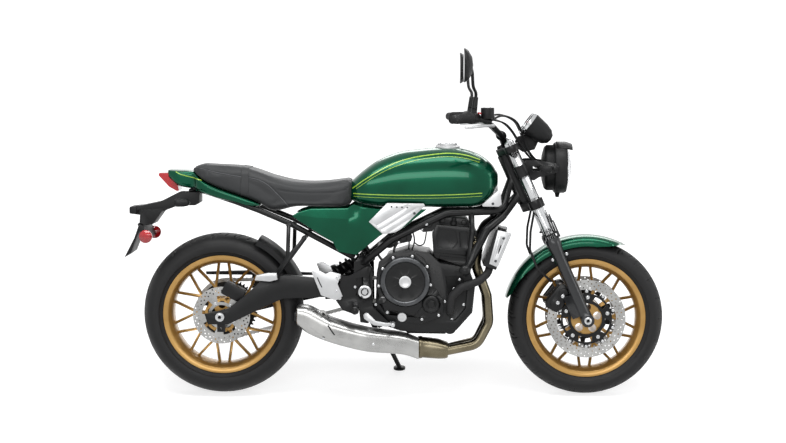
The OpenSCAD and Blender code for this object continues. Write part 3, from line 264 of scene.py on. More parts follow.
F = {
    "green paint": finish("emerald_paint", (0.0008, 0.052, 0.025), (0.0018, 0.082, 0.041), 0.6,
                          (0.2, 0.26), 5, 5200, 0.05, 0.00005, coat=0.5, shine=0.08),
    "black paint": finish("satin_black_paint", (0.0035, 0.0037, 0.004), (0.007, 0.0073, 0.0077),
                          0, (0.3, 0.42), 14, 1400, 0.08, coat=0.1, shine=0.22),
    "black plastic": finish("moulded_plastic", (0.0045, 0.0047, 0.005), (0.0085, 0.0088, 0.0092),
                            0, (0.42, 0.56), 12, 2600, 0.25, shine=0.22),
    "gold paint": finish("gold_rim_paint", (0.36, 0.2, 0.05), (0.46, 0.27, 0.08), 0.6,
                         (0.3, 0.4), 18, 2400, 0.06, coat=0.4),
    "tyre rubber": finish("tyre_rubber", (0.0045, 0.0045, 0.0048), (0.009, 0.009, 0.0094), 0,
                          (0.5, 0.66), 16, 700, 0.25, shine=0.3),
    "grip rubber": finish("grip_rubber", (0.008, 0.008, 0.0085), (0.013, 0.013, 0.0135), 0,
                          (0.6, 0.75), 30, 1600, 0.35, shine=0.3),
    "bright steel": finish("hard_chrome", (0.5, 0.51, 0.52), (0.6, 0.605, 0.61), 1.0,
                           (0.08, 0.18), 22, 300, 0.02),
    "brushed steel": finish("brushed_steel", (0.3, 0.3, 0.295), (0.44, 0.44, 0.43), 1.0,
                            (0.24, 0.36), 9, 700, 0.15, 0.0001, stretch=(0.05, 1, 1)),
    "header steel": finish("heated_steel", (0.09, 0.076, 0.047), (0.2, 0.175, 0.12), 1.0,
                           (0.2, 0.36), 8, 700, 0.08),
    "silver aluminium": finish("silver_aluminium", (0.47, 0.475, 0.48), (0.55, 0.555, 0.56), 0.7,
                               (0.32, 0.44), 14, 2200, 0.12),
    "engine black": finish("cast_black", (0.0035, 0.0037, 0.004), (0.008, 0.0084, 0.0088), 0,
                           (0.26, 0.4), 22, 1800, 0.3, 0.0003, shine=0.26),
    "seat cover": finish("seat_vinyl", (0.017, 0.018, 0.019), (0.023, 0.0245, 0.026), 0,
                         (0.5, 0.62), 10, 1500, 0.4, 0.0003, sheen=0.08, shine=0.35),
    "red lens": finish("red_lens", (0.42, 0.004, 0.008), (0.5, 0.006, 0.012), 0, (0.08, 0.16),
                       8, 400, 0.05, coat=1.0),
    "clear lens": clear_finish("lamp_glass", (0.97, 0.98, 0.99)),
    "mirror": finish("mirror_glass", (0.82, 0.84, 0.86), (0.86, 0.88, 0.9), 1.0, (0.01, 0.03),
                     6, 100, 0.0),
    "gauge dial": finish("dial_plastic", (0.006, 0.006, 0.007), (0.009, 0.009, 0.01), 0,
                         (0.1, 0.2), 9, 900, 0.02, coat=1.0),
}
STRIPE = finish("stripe_paint", (0.3, 0.5, 0.03), (0.36, 0.58, 0.05), 0, (0.3, 0.4), 30, 3000,
                0.05, coat=1.0)
# Seat piping: the bead is real piping, but its grey, lighter than the seat cover, is a painted highlight
# along the seam
PIPING_PAINTED_HIGHLIGHT = finish("seat_piping", (0.06, 0.062, 0.066), (0.08, 0.083, 0.088), 0, (0.45, 0.6), 30,
                2500, 0.3)
SLIDER = finish("graphite_paint", (0.014, 0.015, 0.0165), (0.02, 0.021, 0.0225), 0.35,
                (0.28, 0.36), 12, 1500, 0.06, coat=0.3)

slot_of = {s["node"]: s["material_slot"] for s in frame["record"]["subparts"]}
body_of = {n: b for b, ns in frame["record"]["behaviour"]["bodies"].items() for n in ns}
for name, obj in nodes.items():
    obj.data.materials.clear()
    obj.data.materials.append(F[slot_of[name]])
nodes["fork_sliders"].data.materials[0] = SLIDER


# Making pieces, upright and in millimetres

def dressed(name, mesh, body, slot, stands_for=(), crease=35, look=None):
    """Gives a drawn mesh its finish, its parked place and the body that it rides on."""
    mesh.transform(PARK)
    mesh.materials.clear()
    mesh.materials.append(look or F[slot])
    for face in mesh.polygons:
        face.use_smooth = True
    mesh.set_sharp_from_angle(angle=math.radians(crease))
    piece = bpy.data.objects.new(name, mesh)
    scene.collection.objects.link(piece)
    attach(piece, body)
    if stands_for:
        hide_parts(*stands_for)
    return piece


def outward(mesh):
    """Merges doubled points and points the faces outwards."""
    bm = bmesh.new()
    bm.from_mesh(mesh)
    bmesh.ops.remove_doubles(bm, verts=bm.verts, dist=1e-4)
    bmesh.ops.recalc_face_normals(bm, faces=bm.faces)
    bm.to_mesh(mesh)
    bm.free()
    return mesh


def skin(rings, joined=False):
    """A closed skin over rings of equal length; joined also closes the last to the first."""
    n = len(rings[0])
    points = [tuple(p) for ring in rings for p in ring]
    faces = []
    for i in range(len(rings) if joined else len(rings) - 1):
        a, b = i * n, (i + 1) % len(rings) * n
        faces += [(a + j, a + (j + 1) % n, b + (j + 1) % n, b + j) for j in range(n)]
    if not joined:
        faces += [tuple(range(n))[::-1], tuple(range(len(points) - n, len(points)))]
    mesh = bpy.data.meshes.new("skin")
    mesh.from_pydata(points, [], faces)
    return outward(mesh)


def together(*meshes):
    bm = bmesh.new()
    for mesh in meshes:
        bm.from_mesh(mesh)
        bpy.data.meshes.remove(mesh)
    made = bpy.data.meshes.new("joined")
    bm.to_mesh(made)
    bm.free()
    return made


def both_sides(mesh):
    other = mesh.copy()
    other.transform(Matrix.Scale(-1, 4, (0, 1, 0)))
    other.flip_normals()
    return together(mesh, other)


def turns(n):
    return [2 * math.pi * k / n for k in range(n)]


def smoothed(points, per):
    """More points on a smooth curve through the given ones."""
    p = [Vector(q) for q in points]
    out = []
    for i in range(len(p) - 1):
        a, b = p[i], p[i + 1]
        before = p[i - 1] if i else 2 * a - b
        after = p[i + 2] if i + 2 < len(p) else 2 * b - a
        for k in range(per):
            t = k / per
            out.append(0.5 * (2 * a + (b - before) * t
                              + (2 * before - 5 * a + 4 * b - after) * t * t
                              + (3 * a - before - 3 * b + after) * t ** 3))
    return out + [p[-1]]


def bent(points, radius, steps=10):
    """A path whose corners are cut into arcs, as the source cuts them."""
    p = [Vector(q) for q in points]
    out = [p[0]]
    for a, b, c in zip(p, p[1:], p[2:]):
        u, v = (a - b).normalized(), (c - b).normalized()
        half = math.acos(u.dot(v)) / 2
        reach = min(radius / math.tan(half), (a - b).length * 0.45, (c - b).length * 0.45)
        out += [b + u * reach * (1 - k / steps) ** 2 + v * reach * (k / steps) ** 2
                for k in range(steps + 1)]
    return out + [p[-1]]


def tube(points, r, n=12):
    """A round tube along points; r is one radius or one for each point."""
    p = [Vector(q) for q in points]
    radii = r if isinstance(r, list) else [r] * len(p)
    side, rings = None, []
    for i, q in enumerate(p):
        along = (p[min(i + 1, len(p) - 1)] - p[max(i - 1, 0)]).normalized()
        side = along.orthogonal() if side is None else side
        side = (side - along * side.dot(along)).normalized()
        other = along.cross(side)
        rings.append([q + radii[i] * (math.cos(a) * side + math.sin(a) * other)
                      for a in turns(n)])
    return skin(rings)


def spun(profile, centre, axis=(0, -1, 0), n=48, joined=False):
    """A turned shape; the profile gives radius and distance along the axis."""
    axis = Vector(axis).normalized()
    u = axis.orthogonal().normalized()
    v = axis.cross(u)
    return skin([[Vector(centre) + axis * h + max(r, 0.01) * (math.cos(a) * u + math.sin(a) * v)
                  for a in turns(n)] for r, h in profile], joined)


def plain_mesh(obj):
    """The object's shape with its modifiers, as a mesh; the object goes."""
    graph = bpy.context.evaluated_depsgraph_get()
    mesh = bpy.data.meshes.new_from_object(obj.evaluated_get(graph))
    bpy.data.objects.remove(obj)
    return mesh


def circle(x, y, r, n):
    return [(x + r * math.cos(a), y + r * math.sin(a)) for a in turns(n)]


def plate(loops, thick, centre):
    """A plate across the bike: the first loop is its outline, the others are its holes."""
    curve = bpy.data.curves.new("plate", "CURVE")
    curve.dimensions = "2D"
    curve.fill_mode = "BOTH"
    curve.extrude = thick / 2
    for loop in loops:
        spline = curve.splines.new("POLY")
        spline.points.add(len(loop) - 1)
        for point, (x, y) in zip(spline.points, loop):
            point.co = (x, y, 0, 1)
        spline.use_cyclic_u = True
    holder = bpy.data.objects.new("plate", curve)
    scene.collection.objects.link(holder)
    mesh = plain_mesh(holder)
    mesh.transform(Matrix.Translation(centre) @ Matrix.Rotation(math.radians(90), 4, "X"))
    return outward(mesh)


def between(rows, x):
    """The row at x, on a smooth curve through the given rows, whose first value is x."""
    i = max(k for k in range(len(rows) - 1) if rows[k][0] <= x or k == 0)
    a, b = rows[i], rows[i + 1]
    span = b[0] - a[0]
    t = (x - a[0]) / span

    def slope(k, j):
        low, high = max(k - 1, 0), min(k + 1, len(rows) - 1)
        return (rows[high][j] - rows[low][j]) / (rows[high][0] - rows[low][0]) * span

    return [x] + [(2 * t ** 3 - 3 * t * t + 1) * a[j] + (t ** 3 - 2 * t * t + t) * slope(i, j)
                  + (3 * t * t - 2 * t ** 3) * b[j] + (t ** 3 - t * t) * slope(i + 1, j)
                  for j in range(1, len(a))]


def body_ring(x, w, low, wide, high, up=0.75, down=0.4, n=72):
    """A section across the bike: half width, lowest, widest and highest place."""
    ring = []
    for a in turns(n):
        c, s = math.cos(a), math.sin(a)
        e = up if s > 0 else down
        ring.append((x, -w * math.copysign(abs(c) ** e, c),
                     wide + (high - wide if s > 0 else wide - low)
                     * math.copysign(abs(s) ** e, s)))
    return ring


def lofted(rows, count, n, ends=((0.93, 2.5), (0.75, 5), (0.4, 7))):
    """A smooth body through rows of x and section sizes, with rounded ends."""
    first, last = rows[0][0], rows[-1][0]
    rings = [body_ring(*between(rows, first + (last - first) * k / count), n=n)
             for k in range(count + 1)]

    def ending(ring, way):
        middle = sum((Vector(p) for p in ring), Vector()) / len(ring)
        return [[middle + (Vector(p) - middle) * size + Vector((way * out, 0, 0))
                 for p in ring] for size, out in ends]

    return skin(ending(rings[0], -1)[::-1] + rings + ending(rings[-1], 1))


def tree_of(mesh):
    return BVHTree.FromPolygons([v.co for v in mesh.vertices],
                                [tuple(p.vertices) for p in mesh.polygons])


def touched(tree, x, z, side=-1):
    """Where a line from one side at x and z first meets a body, and its normal there."""
    hit, normal, _, _ = tree.ray_cast(Vector((x, side * 500, z)), Vector((0, -side, 0)))
    return hit, normal


def laid(tree, path, width, height, side=-1):
    """A thin strip of the given width, laid on a body along a line in the side view."""
    line = smoothed([(x, 0, z) for x, z in path], 24)
    rings = []
    for i, p in enumerate(line):
        along = (line[min(i + 1, len(line) - 1)] - line[max(i - 1, 0)]).normalized()
        across = Vector((-along.z, 0, along.x)) * width / 2
        ends = [touched(tree, *(p + across * s).xz, side) for s in (-1, 1)]
        if all(hit for hit, _ in ends):
            (a, na), (b, nb) = ends
            rings.append([a + na * height, b + nb * height, b - nb, a - na])
    return skin(rings)


def bead(tree, path, r, side=-1, sink=0.3):
    """A round bead laid on a body along a line in the side view."""
    line = smoothed([(x, 0, z) for x, z in path], 8)
    hits = [touched(tree, p.x, p.z, side) for p in line]
    return tube([hit + normal * (r * sink) for hit, normal in hits if hit], r, 8)


def softened(name, width=0.0, look=None):
    """A merged copy of a CAD node with smooth faces and, if asked, rounded edges."""
    crease = 34
    bm = bmesh.new()
    bm.from_mesh(nodes[name].data)
    bmesh.ops.transform(bm, matrix=UNPARK, verts=bm.verts)
    bmesh.ops.remove_doubles(bm, verts=bm.verts, dist=0.01)
    if width:
        bmesh.ops.dissolve_limit(bm, angle_limit=math.radians(0.6), verts=bm.verts,
                                 edges=bm.edges, delimit={"NORMAL"})
        sharp = [e for e in bm.edges if len(e.link_faces) == 2
                 and e.calc_face_angle() > math.radians(crease)]
        bmesh.ops.bevel(bm, geom=sharp, offset=width, segments=2, profile=0.5,
                        affect="EDGES", clamp_overlap=False)
    mesh = bpy.data.meshes.new(name)
    bm.to_mesh(mesh)
    bm.free()
    dressed(name + "_surface", mesh, body_of[name], slot_of[name], [name], crease, look)


# Repeated pieces

def make_repeater():
    """Geometry Nodes that set one piece at every point, turned as the point says."""
    tree = bpy.data.node_groups.new("repeat_piece", "GeometryNodeTree")
    for label, kind in (("Places", "Geometry"), ("Piece", "Object"), ("Size", "Float"),
                        ("Finish", "Material")):
        tree.interface.new_socket(label, in_out="INPUT", socket_type="NodeSocket" + kind)
    tree.interface.new_socket("Result", in_out="OUTPUT", socket_type="NodeSocketGeometry")
    add, link = tree.nodes.new, tree.links.new
    given, result = add("NodeGroupInput"), add("NodeGroupOutput")
    info = add("GeometryNodeObjectInfo")
    turn = add("GeometryNodeInputNamedAttribute")
    turn.data_type = "FLOAT_VECTOR"
    turn.inputs["Name"].default_value = "turn"
    euler = add("FunctionNodeEulerToRotation")
    put = add("GeometryNodeInstanceOnPoints")
    real = add("GeometryNodeRealizeInstances")
    paint = add("GeometryNodeSetMaterial")
    link(given.outputs["Places"], put.inputs["Points"])
    link(given.outputs["Piece"], info.inputs["Object"])
    link(info.outputs["Geometry"], put.inputs["Instance"])
    link(turn.outputs["Attribute"], euler.inputs[0])
    link(euler.outputs[0], put.inputs["Rotation"])
    link(given.outputs["Size"], put.inputs["Scale"])
    link(put.outputs[0], real.inputs[0])
    link(real.outputs[0], paint.inputs["Geometry"])
    link(given.outputs["Finish"], paint.inputs["Material"])
    link(paint.outputs[0], result.inputs[0])
    return tree


REPEATER = make_repeater()


def repeated(proto, places, look, size=1.0):
    """Sets a prototype mesh at each place: a point and the three turns of its axes."""
    seed = bpy.data.meshes.new("places")
    seed.from_pydata([tuple(p) for p, _ in places], [], [])
    turn = seed.attributes.new("turn", "FLOAT_VECTOR", "POINT")
    for item, (_, euler) in zip(turn.data, places):
        item.vector = euler
    model = bpy.data.objects.new("model", proto)
    holder = bpy.data.objects.new("places", seed)
    scene.collection.objects.link(model)
    scene.collection.objects.link(holder)
    step = holder.modifiers.new("repeat", "NODES")
    step.node_group = REPEATER
    values = {"Piece": model, "Size": size, "Finish": look}
    for item in REPEATER.interface.items_tree:
        if item.in_out == "INPUT" and item.name in values:
            step[item.identifier] = values[item.name]
    mesh = plain_mesh(holder)
    bpy.data.objects.remove(model)
    return mesh


def facing(direction):
    return Vector(direction).to_track_quat("Z", "Y").to_euler()


def axes(x, y, z):
    return Matrix((x, y, z)).transposed().to_euler()


def bolt_model():
    """A socket bolt with its washer, of radius 1."""
    return spun([(0, -0.3), (1.3, -0.3), (1.3, 0.15), (1, 0.2), (1, 0.8), (0.85, 0.95),
                 (0.5, 0.95), (0.45, 0.4), (0, 0.4)], (0, 0, 0), (0, 0, 1), 14)


def bolts(name, body, r, places, slot="bright steel", look=None):
    """Bolts of radius r, each given as its seat's point and the way that it faces."""
    mesh = repeated(bolt_model(), [(Vector(p), facing(way)) for p, way in places],
                    look or F[slot], r)
    dressed(name, mesh, body, slot, look=look)


def seats_on(tree, spots, sides=(-1, 1)):
    """Seats for bolts at places in the side view, on each side where a body is met."""
    hits = [(touched(tree, x, z, side)[0], (0, side, 0)) for side in sides for x, z in spots]
    return [(hit, way) for hit, way in hits if hit]


# Wheels and brakes

def tread_cut(around, across, pitch):
    """Depth of the tread's grooves at places along and across the tyre."""
    paths = [[(0.0, 8), (14, 20), (22, 34), (24, 50)], [(34, 30), (40, 42), (40, 60)],
             [(-22, 26), (-14, 40), (-12, 46)]]
    deep = np.zeros_like(around)
    for side, shift in ((1, 0.0), (-1, pitch / 2)):
        u = (around + shift + pitch / 2) % pitch - pitch / 2
        for path in paths:
            for (u0, v0), (u1, v1) in zip(path, path[1:]):
                for wrap in (-pitch, 0, pitch):
                    du, dv = u1 - u0, v1 - v0
                    pu, pv = u - u0 - wrap, across * side - v0
                    t = np.clip((pu * du + pv * dv) / (du * du + dv * dv), 0, 1)
                    away = np.hypot(pu - t * du, pv - t * dv)
                    deep = np.maximum(deep, np.clip(1.35 - away / 2.6, 0, 1))
    return 3.2 * deep


def make_tyre(name, body, node, hub, sizes):
    """A road tyre with grooves cut into its crown and a ribbed sidewall."""
    outer_r, width, rim_w = sizes
    crown = (outer_r - BEAD_R) * 0.56
    half = [(outer_r - crown * (1 - math.cos(a)), width / 2 * math.sin(a))
            for a in np.radians(np.linspace(0, 84, 30))]
    wall = [(BEAD_R + 34, width / 2 - 1.4), (BEAD_R + 27, width / 2 - 3.6),
            (BEAD_R + 26, width / 2 - 2.9), (BEAD_R + 22, rim_w / 2 + 3.2),
            (BEAD_R + 15, rim_w / 2 + 0.2), (BEAD_R + 10, rim_w / 2 - 4.4),
            (BEAD_R + 0.2, rim_w / 2 - 8)]
    half += [(r, min(y, width / 2 - 0.6)) for r, y in wall]
    profile = np.array([(r, -y) for r, y in half[:0:-1]] + half)
    step = np.gradient(profile, axis=0)
    normal = np.stack([step[:, 1], -step[:, 0]], 1)
    normal /= np.linalg.norm(normal, axis=1)[:, None]
    length = np.concatenate([[0], np.cumsum(np.linalg.norm(np.diff(profile, axis=0), axis=1))])
    length -= length[len(profile) // 2]
    count = 720
    angle = np.linspace(0, 2 * np.pi, count, endpoint=False)
    around, across = np.meshgrid(angle * outer_r, length, indexing="ij")
    deep = tread_cut(around, across, 2 * np.pi * outer_r / 22)
    deep[:, :7] = 0
    deep[:, -7:] = 0
    r = profile[None, :, 0] - deep * normal[None, :, 0]
    y = profile[None, :, 1] - deep * normal[None, :, 1]
    points = np.stack([hub.x + r * np.cos(angle)[:, None], y,
                       hub.z + r * np.sin(angle)[:, None]], 2)
    dressed(name, skin(points.tolist(), joined=True), body, "tyre rubber", [node], 50)


def disc_holes(radii, count, twist, r):
    return [circle(q * math.cos(a + i * twist), q * math.sin(a + i * twist), r, 10)
            for i, q in enumerate(radii) for a in turns(count)]


def window(inner, outer, middle, spread_in, spread_out):
    """A kidney-shaped window between two radii, round an angle in degrees."""
    arc = [(outer, middle + spread_out * t) for t in (-1, -0.5, 0, 0.5, 1)]
    arc += [(inner, middle - spread_in * t) for t in (-1, -0.5, 0, 0.5, 1)]
    return [polar(r, a).xz for r, a in arc]


def make_front_discs():
    bands, carriers, buttons, screws = [], [], [], []
    lugs = []
    for k in range(10):
        lugs += [(98, 36 * k + 4), (98, 36 * k + 12), (112, 36 * k + 14), (112, 36 * k + 22),
                 (98, 36 * k + 24), (98, 36 * k + 32)]
    outline = [polar(r, a).xz for r, a in lugs]
    for y in (-FRONT_DISC_Y, FRONT_DISC_Y):
        way = RIGHT if y < 0 else LEFT
        at = FRONT_HUB + Vector((0, y, 0))
        bands.append(plate([circle(0, 0, 150, 120), circle(0, 0, 113.5, 96)]
                           + disc_holes((120, 128, 136, 144), 30, 0.09, 2.9), 4.5, at))
        carriers.append(plate([outline, circle(0, 0, 60, 60)]
                              + [window(72, 91, 72 * k + 51, 21, 17) for k in range(5)],
                              4.9, at))
        for k in range(10):
            buttons.append((at + polar(107, 36 * k + 18) + Vector(way) * 2.2, way))
        for k in range(5):
            screws.append((at + polar(83, 72 * k + 87) + Vector(way) * 2.6, way))
    dressed("front_disc_bands", together(*bands), "front_wheel", "brushed steel", ["front_discs"])
    dressed("front_disc_carriers", together(*carriers), "front_wheel", "black paint", ["front_discs"])
    bolts("front_disc_buttons", "front_wheel", 4.6, buttons)
    bolts("front_disc_bolts", "front_wheel", 5.6, screws)


def make_rear_disc():
    at = REAR_HUB + Vector((0, -88, 0))
    loops = [circle(0, 0, 110, 100), circle(0, 0, 40, 48)]
    loops += disc_holes((88, 96, 104), 26, 0.11, 3.2)
    loops += [window(52, 76, 72 * k + 10, 24, 22) for k in range(5)]
    dressed("rear_disc_plate", plate(loops, 4.5, at), "rear_wheel", "brushed steel", ["rear_disc"])
    bolts("rear_disc_bolts", "rear_wheel", 5.2,
          [(at + polar(50, 72 * k + 46, -2.3), RIGHT) for k in range(5)])


make_tyre("front_tyre_tread", "front_wheel", "front_tyre", FRONT_HUB, FRONT_TYRE)
make_tyre("rear_tyre_tread", "rear_wheel", "rear_tyre", REAR_HUB, REAR_TYRE)
make_front_discs()
make_rear_disc()


# Tank, covers, seat and tail

TANK = [(500, 70, 756, 790, 830), (540, 96, 740, 800, 866), (600, 108, 731, 800, 908),
        (680, 116, 730, 805, 940), (760, 122, 730, 810, 952), (850, 128, 730, 815, 959),
        (920, 128, 731, 818, 955), (980, 122, 733, 820, 938), (1020, 110, 752, 825, 914),
        (1045, 92, 780, 835, 890), (1058, 62, 808, 842, 868)]
tank_mesh = lofted(TANK, 90, 96)
tank_tree = tree_of(tank_mesh)
stripes = []
for side in (-1, 1):
    for path, width in (([(508, 784), (640, 780), (778, 780), (900, 783), (1000, 788)], 3.4),
                        ([(510, 773), (640, 769), (778, 769), (900, 772), (1000, 777)], 1.6),
                        ([(505, 803), (545, 832), (586, 858), (632, 884), (682, 906),
                          (740, 922), (802, 932), (874, 938), (938, 931), (993, 914)], 3.4),
                        ([(520, 802), (560, 830), (600, 855), (645, 878), (690, 895),
                          (745, 911), (805, 921), (874, 926), (938, 919), (990, 904)], 1.6)):
        stripes.append(laid(tank_tree, path, width, 0.6, side))
dressed("tank_skin", tank_mesh, "frame", "green paint", ["fuel_tank"], 60)
dressed("tank_stripes", together(*stripes), "frame", "green paint", look=STRIPE)
filler = Vector((870, 0, 966))
dressed("filler_ring", spun([(26, -16), (26, 0.1), (29, 0.1), (40, 0.1), (44, -1.5), (48, -5),
                             (48, -16)], filler, (0, 0, 1), 72, joined=True),
        "frame", "silver aluminium")
cap_top = filler + Vector((0, 0, 7.3))
bolts("cap_screws", "fuel_cap", 2.6,
      [(cap_top + Vector((31 * math.cos(a), 31 * math.sin(a), 0)), (0, 0, 1))
       for a in turns(7)[:-1]])
dressed("cap_keyhole_cover", spun([(0, -1), (15, -1), (15, 0.8), (13, 2), (0, 2.4)], cap_top,
                                  (0, 0, 1), 40), "fuel_cap", "bright steel")


def flank_y(x, z):
    """How far out the curved skin of the side covers lies."""
    w = np.interp(x, [250, 330, 450, 600, 700, 800], [124, 130, 134, 135, 133, 127])
    q = abs(z - 650) / (140 if z > 650 else 150)
    return w * math.sqrt(max(0, 1 - q ** (2 / 0.3))) ** 0.3


def panel(top, bottom, out_y, thick=3.0, columns=70, rows=18, edge_r=2.6, fold=None):
    """A curved panel of the right side, between two broken lines in the side view.

    Half of its rows lie above the fold line, where one is given."""
    first, last = max(top[0][0], bottom[0][0]), min(top[-1][0], bottom[-1][0])
    rings = []
    for k in range(columns + 1):
        x = first + (last - first) * (0.5 - 0.5 * math.cos(math.pi * (k + 0.5) / (columns + 1)))
        high, low = np.interp(x, *zip(*top)), np.interp(x, *zip(*bottom))
        outer, inner = [], []
        bend = min(max(np.interp(x, *zip(*fold)), low), high) if fold else (low + high) / 2
        for j in range(rows + 1):
            t = 1 - math.cos(math.pi * j / rows)
            z = low + (bend - low) * t if t < 1 else bend + (high - bend) * (t - 1)
            edge = min(z - low, high - z, x - first, last - x) / edge_r
            dip = edge_r * (1 - math.sqrt(1 - max(0, 1 - edge) ** 2))
            outer.append((x, dip - out_y(x, z), z))
            inner.append((x, thick - out_y(x, z), z))
        rings.append(outer + inner[::-1])
    return skin(rings)


COVER_FOLD = [(276, 704), (309, 704), (362, 696), (442, 691), (490, 691), (548, 688),
              (620, 688), (700, 690), (790, 727)]


def cover_y(x, z):
    """The side cover's face; a lit facet leans in above its fold."""
    above = max(0, z - np.interp(x, *zip(*COVER_FOLD)))
    return flank_y(x, z) - 0.5 * above * np.interp(x, [486, 540], [1, 0])


COVER_TOP = [(276, 701), (298, 714), (345, 728), (492, 730), (506, 746), (545, 736), (600, 728),
             (790, 727)]
COVER_BOTTOM = [(276, 700), (308, 678), (388, 628), (434, 600), (450, 564), (522, 552),
                (617, 630), (690, 652), (700, 655), (756, 700), (790, 727)]
dressed("side_cover_panels", both_sides(panel(COVER_TOP, COVER_BOTTOM, cover_y,
                                                fold=COVER_FOLD)),
        "frame", "green paint", ["side_covers"], 22)

UNDER_SEAT = [(-108, 60, 868), (-92, 80, 852), (-65, 90, 831), (-18, 98, 808), (60, 108, 780),
              (103, 112, 765), (150, 116, 745)]
SEAT_TOP = (884, 894, 893, 890, 886, 880, 866)
SEAT = ([(x, w, low, low * 0.45 + high * 0.55, high, 0.5, 0.3)
         for (x, w, low), high in zip(UNDER_SEAT, SEAT_TOP)]
        + [(200, 122, 716, 800, 848, 0.5, 0.4), (290, 122, 732, 780, 828, 0.5, 0.4),
           (380, 122, 732, 775, 825, 0.5, 0.4), (470, 110, 732, 778, 835, 0.5, 0.4),
           (496, 90, 740, 790, 842, 0.5, 0.4)])
SEAM = [(-100, 884), (-61, 875), (-15, 864), (31, 856), (77, 849), (109, 845), (142, 838),
        (169, 827), (192, 811), (211, 792), (229, 774), (248, 753), (268, 730)]
RIDER_SEAM = [(224, 800), (252, 795), (298, 790), (358, 788), (426, 789), (470, 797),
              (488, 806)]


def swollen(mesh, cap, voxel=0.006, frames=20):
    """Lets pressure swell a pad like foam under its cover, by the cap in metres at most."""
    mesh.transform(Matrix.Scale(0.001, 4))
    pad = bpy.data.objects.new("pad", mesh)
    scene.collection.objects.link(pad)
    even = pad.modifiers.new("even", "REMESH")
    even.mode = "VOXEL"
    even.voxel_size = voxel
    even = plain_mesh(pad)
    rest = np.array([v.co for v in even.vertices])
    pad = bpy.data.objects.new("pad", even.copy())
    scene.collection.objects.link(pad)
    hold = pad.vertex_groups.new(name="underside")
    low = [v.index for v in pad.data.vertices if v.normal.z < -0.45]
    hold.add(low, 1.0, "REPLACE")
    cloth = pad.modifiers.new("air", "CLOTH")
    cloth.settings.use_pressure = True
    cloth.settings.uniform_pressure_force = 4
    cloth.settings.effector_weights.gravity = 0
    cloth.settings.vertex_group_mass = "underside"
    cloth.point_cache.frame_end = frames
    for step in range(1, frames + 1):
        scene.frame_set(step)
    moved = plain_mesh(pad)
    scene.frame_set(1)
    points = np.array([v.co for v in moved.vertices])
    shift = points - rest
    size = np.linalg.norm(shift, axis=1)
    shift *= np.minimum(1, cap / np.maximum(size, 1e-9))[:, None]
    even.vertices.foreach_set("co", (rest + shift).ravel())
    even.update()
    even.transform(Matrix.Scale(1000, 4))
    return even


def pressed(mesh, paths, depth, half):
    """Presses shallow seams into a pad along lines in the side view, on both sides."""
    points = np.array([v.co for v in mesh.vertices])
    normals = np.array([v.normal for v in mesh.vertices])
    away = np.full(len(points), 99.0)
    for path in paths:
        line = [(p.x, p.z) for p in smoothed([(x, 0, z) for x, z in path], 6)]
        for (x0, z0), (x1, z1) in zip(line, line[1:]):
            dx, dz = x1 - x0, z1 - z0
            px, pz = points[:, 0] - x0, points[:, 2] - z0
            t = np.clip((px * dx + pz * dz) / (dx * dx + dz * dz + 1e-9), 0, 1)
            away = np.minimum(away, np.hypot(px - t * dx, pz - t * dz))
    sunk = depth * np.clip(1 - away / half, 0, 1) ** 2
    sunk *= np.abs(points[:, 1]) > 30
    mesh.vertices.foreach_set("co", (points - normals * sunk[:, None]).ravel())
    mesh.update()
    return mesh


def make_seat():
    tight = 3
    rows = [(x, w - tight, low + tight * 0.3, wide, high - tight, up, down)
            for x, w, low, wide, high, up, down in SEAT]
    mesh = lofted(rows, 70, 80, ((0.97, 1), (0.9, 2), (0.7, 3)))
    mesh = swollen(mesh, 0.006)
    even = bpy.data.objects.new("pad", mesh)
    scene.collection.objects.link(even)
    fine = even.modifiers.new("fine", "SUBSURF")
    fine.levels = fine.render_levels = 1
    mesh = plain_mesh(even)
    mesh = pressed(mesh, [SEAM, RIDER_SEAM], 2.2, 7)
    seat_tree = tree_of(mesh)
    seat = dressed("seat_pad", mesh, "frame", "seat cover", ["seat"], 70)
    # The piping bead along the seam carries the lighter grey painted highlight
    dressed("seat_piping", together(*[bead(seat_tree, SEAM, 1.7, s) for s in (-1, 1)]),
            "frame", "seat cover", look=PIPING_PAINTED_HIGHLIGHT)
    dressed("seat_stitch_line", together(*[bead(seat_tree, RIDER_SEAM, 0.9, s, 0.1)
                                           for s in (-1, 1)]), "frame", "seat cover")
    rings = []
    for k in range(61):
        a = math.radians(-22 + 224 * k / 60)
        away = Vector((0, math.cos(a), math.sin(a)))
        row = []
        for x in (80, 82, 109, 111):
            hit, normal, _, _ = seat_tree.ray_cast(Vector((x, 0, 815)) + away * 300, -away)
            row.append(hit + normal * (0.3 if x in (80, 111) else 2.4))
        rings.append(row + [row[3] - away * 3, row[0] - away * 3])
    dressed("passenger_strap", skin(rings), "frame", "seat cover")


make_seat()

COWL_UNDER = (846, 812, 797, 790, 780, 764, 746, 734, 736)
cowl_rows = [(x, w, low, low * 0.4 + high * 0.6, high - 1, 0.4, 0.4) for (x, w, high), low
             in zip([(-206, 44, 873), (-170, 62, 872)] + UNDER_SEAT, COWL_UNDER)]
cowl_mesh = lofted(cowl_rows, 60, 64, ((0.98, 1), (0.94, 2)))
cowl_tree = tree_of(cowl_mesh)
cowl_stripes = [laid(cowl_tree, [(-176, 866), (-160, 857), (-128, 848), (-96, 840), (-70, 832)],
                     3, 0.6, s) for s in (-1, 1)]
dressed("tail_skin", cowl_mesh, "frame", "green paint", ["tail_cowl"], 50)
dressed("tail_stripes", together(*cowl_stripes), "frame", "green paint", look=STRIPE)


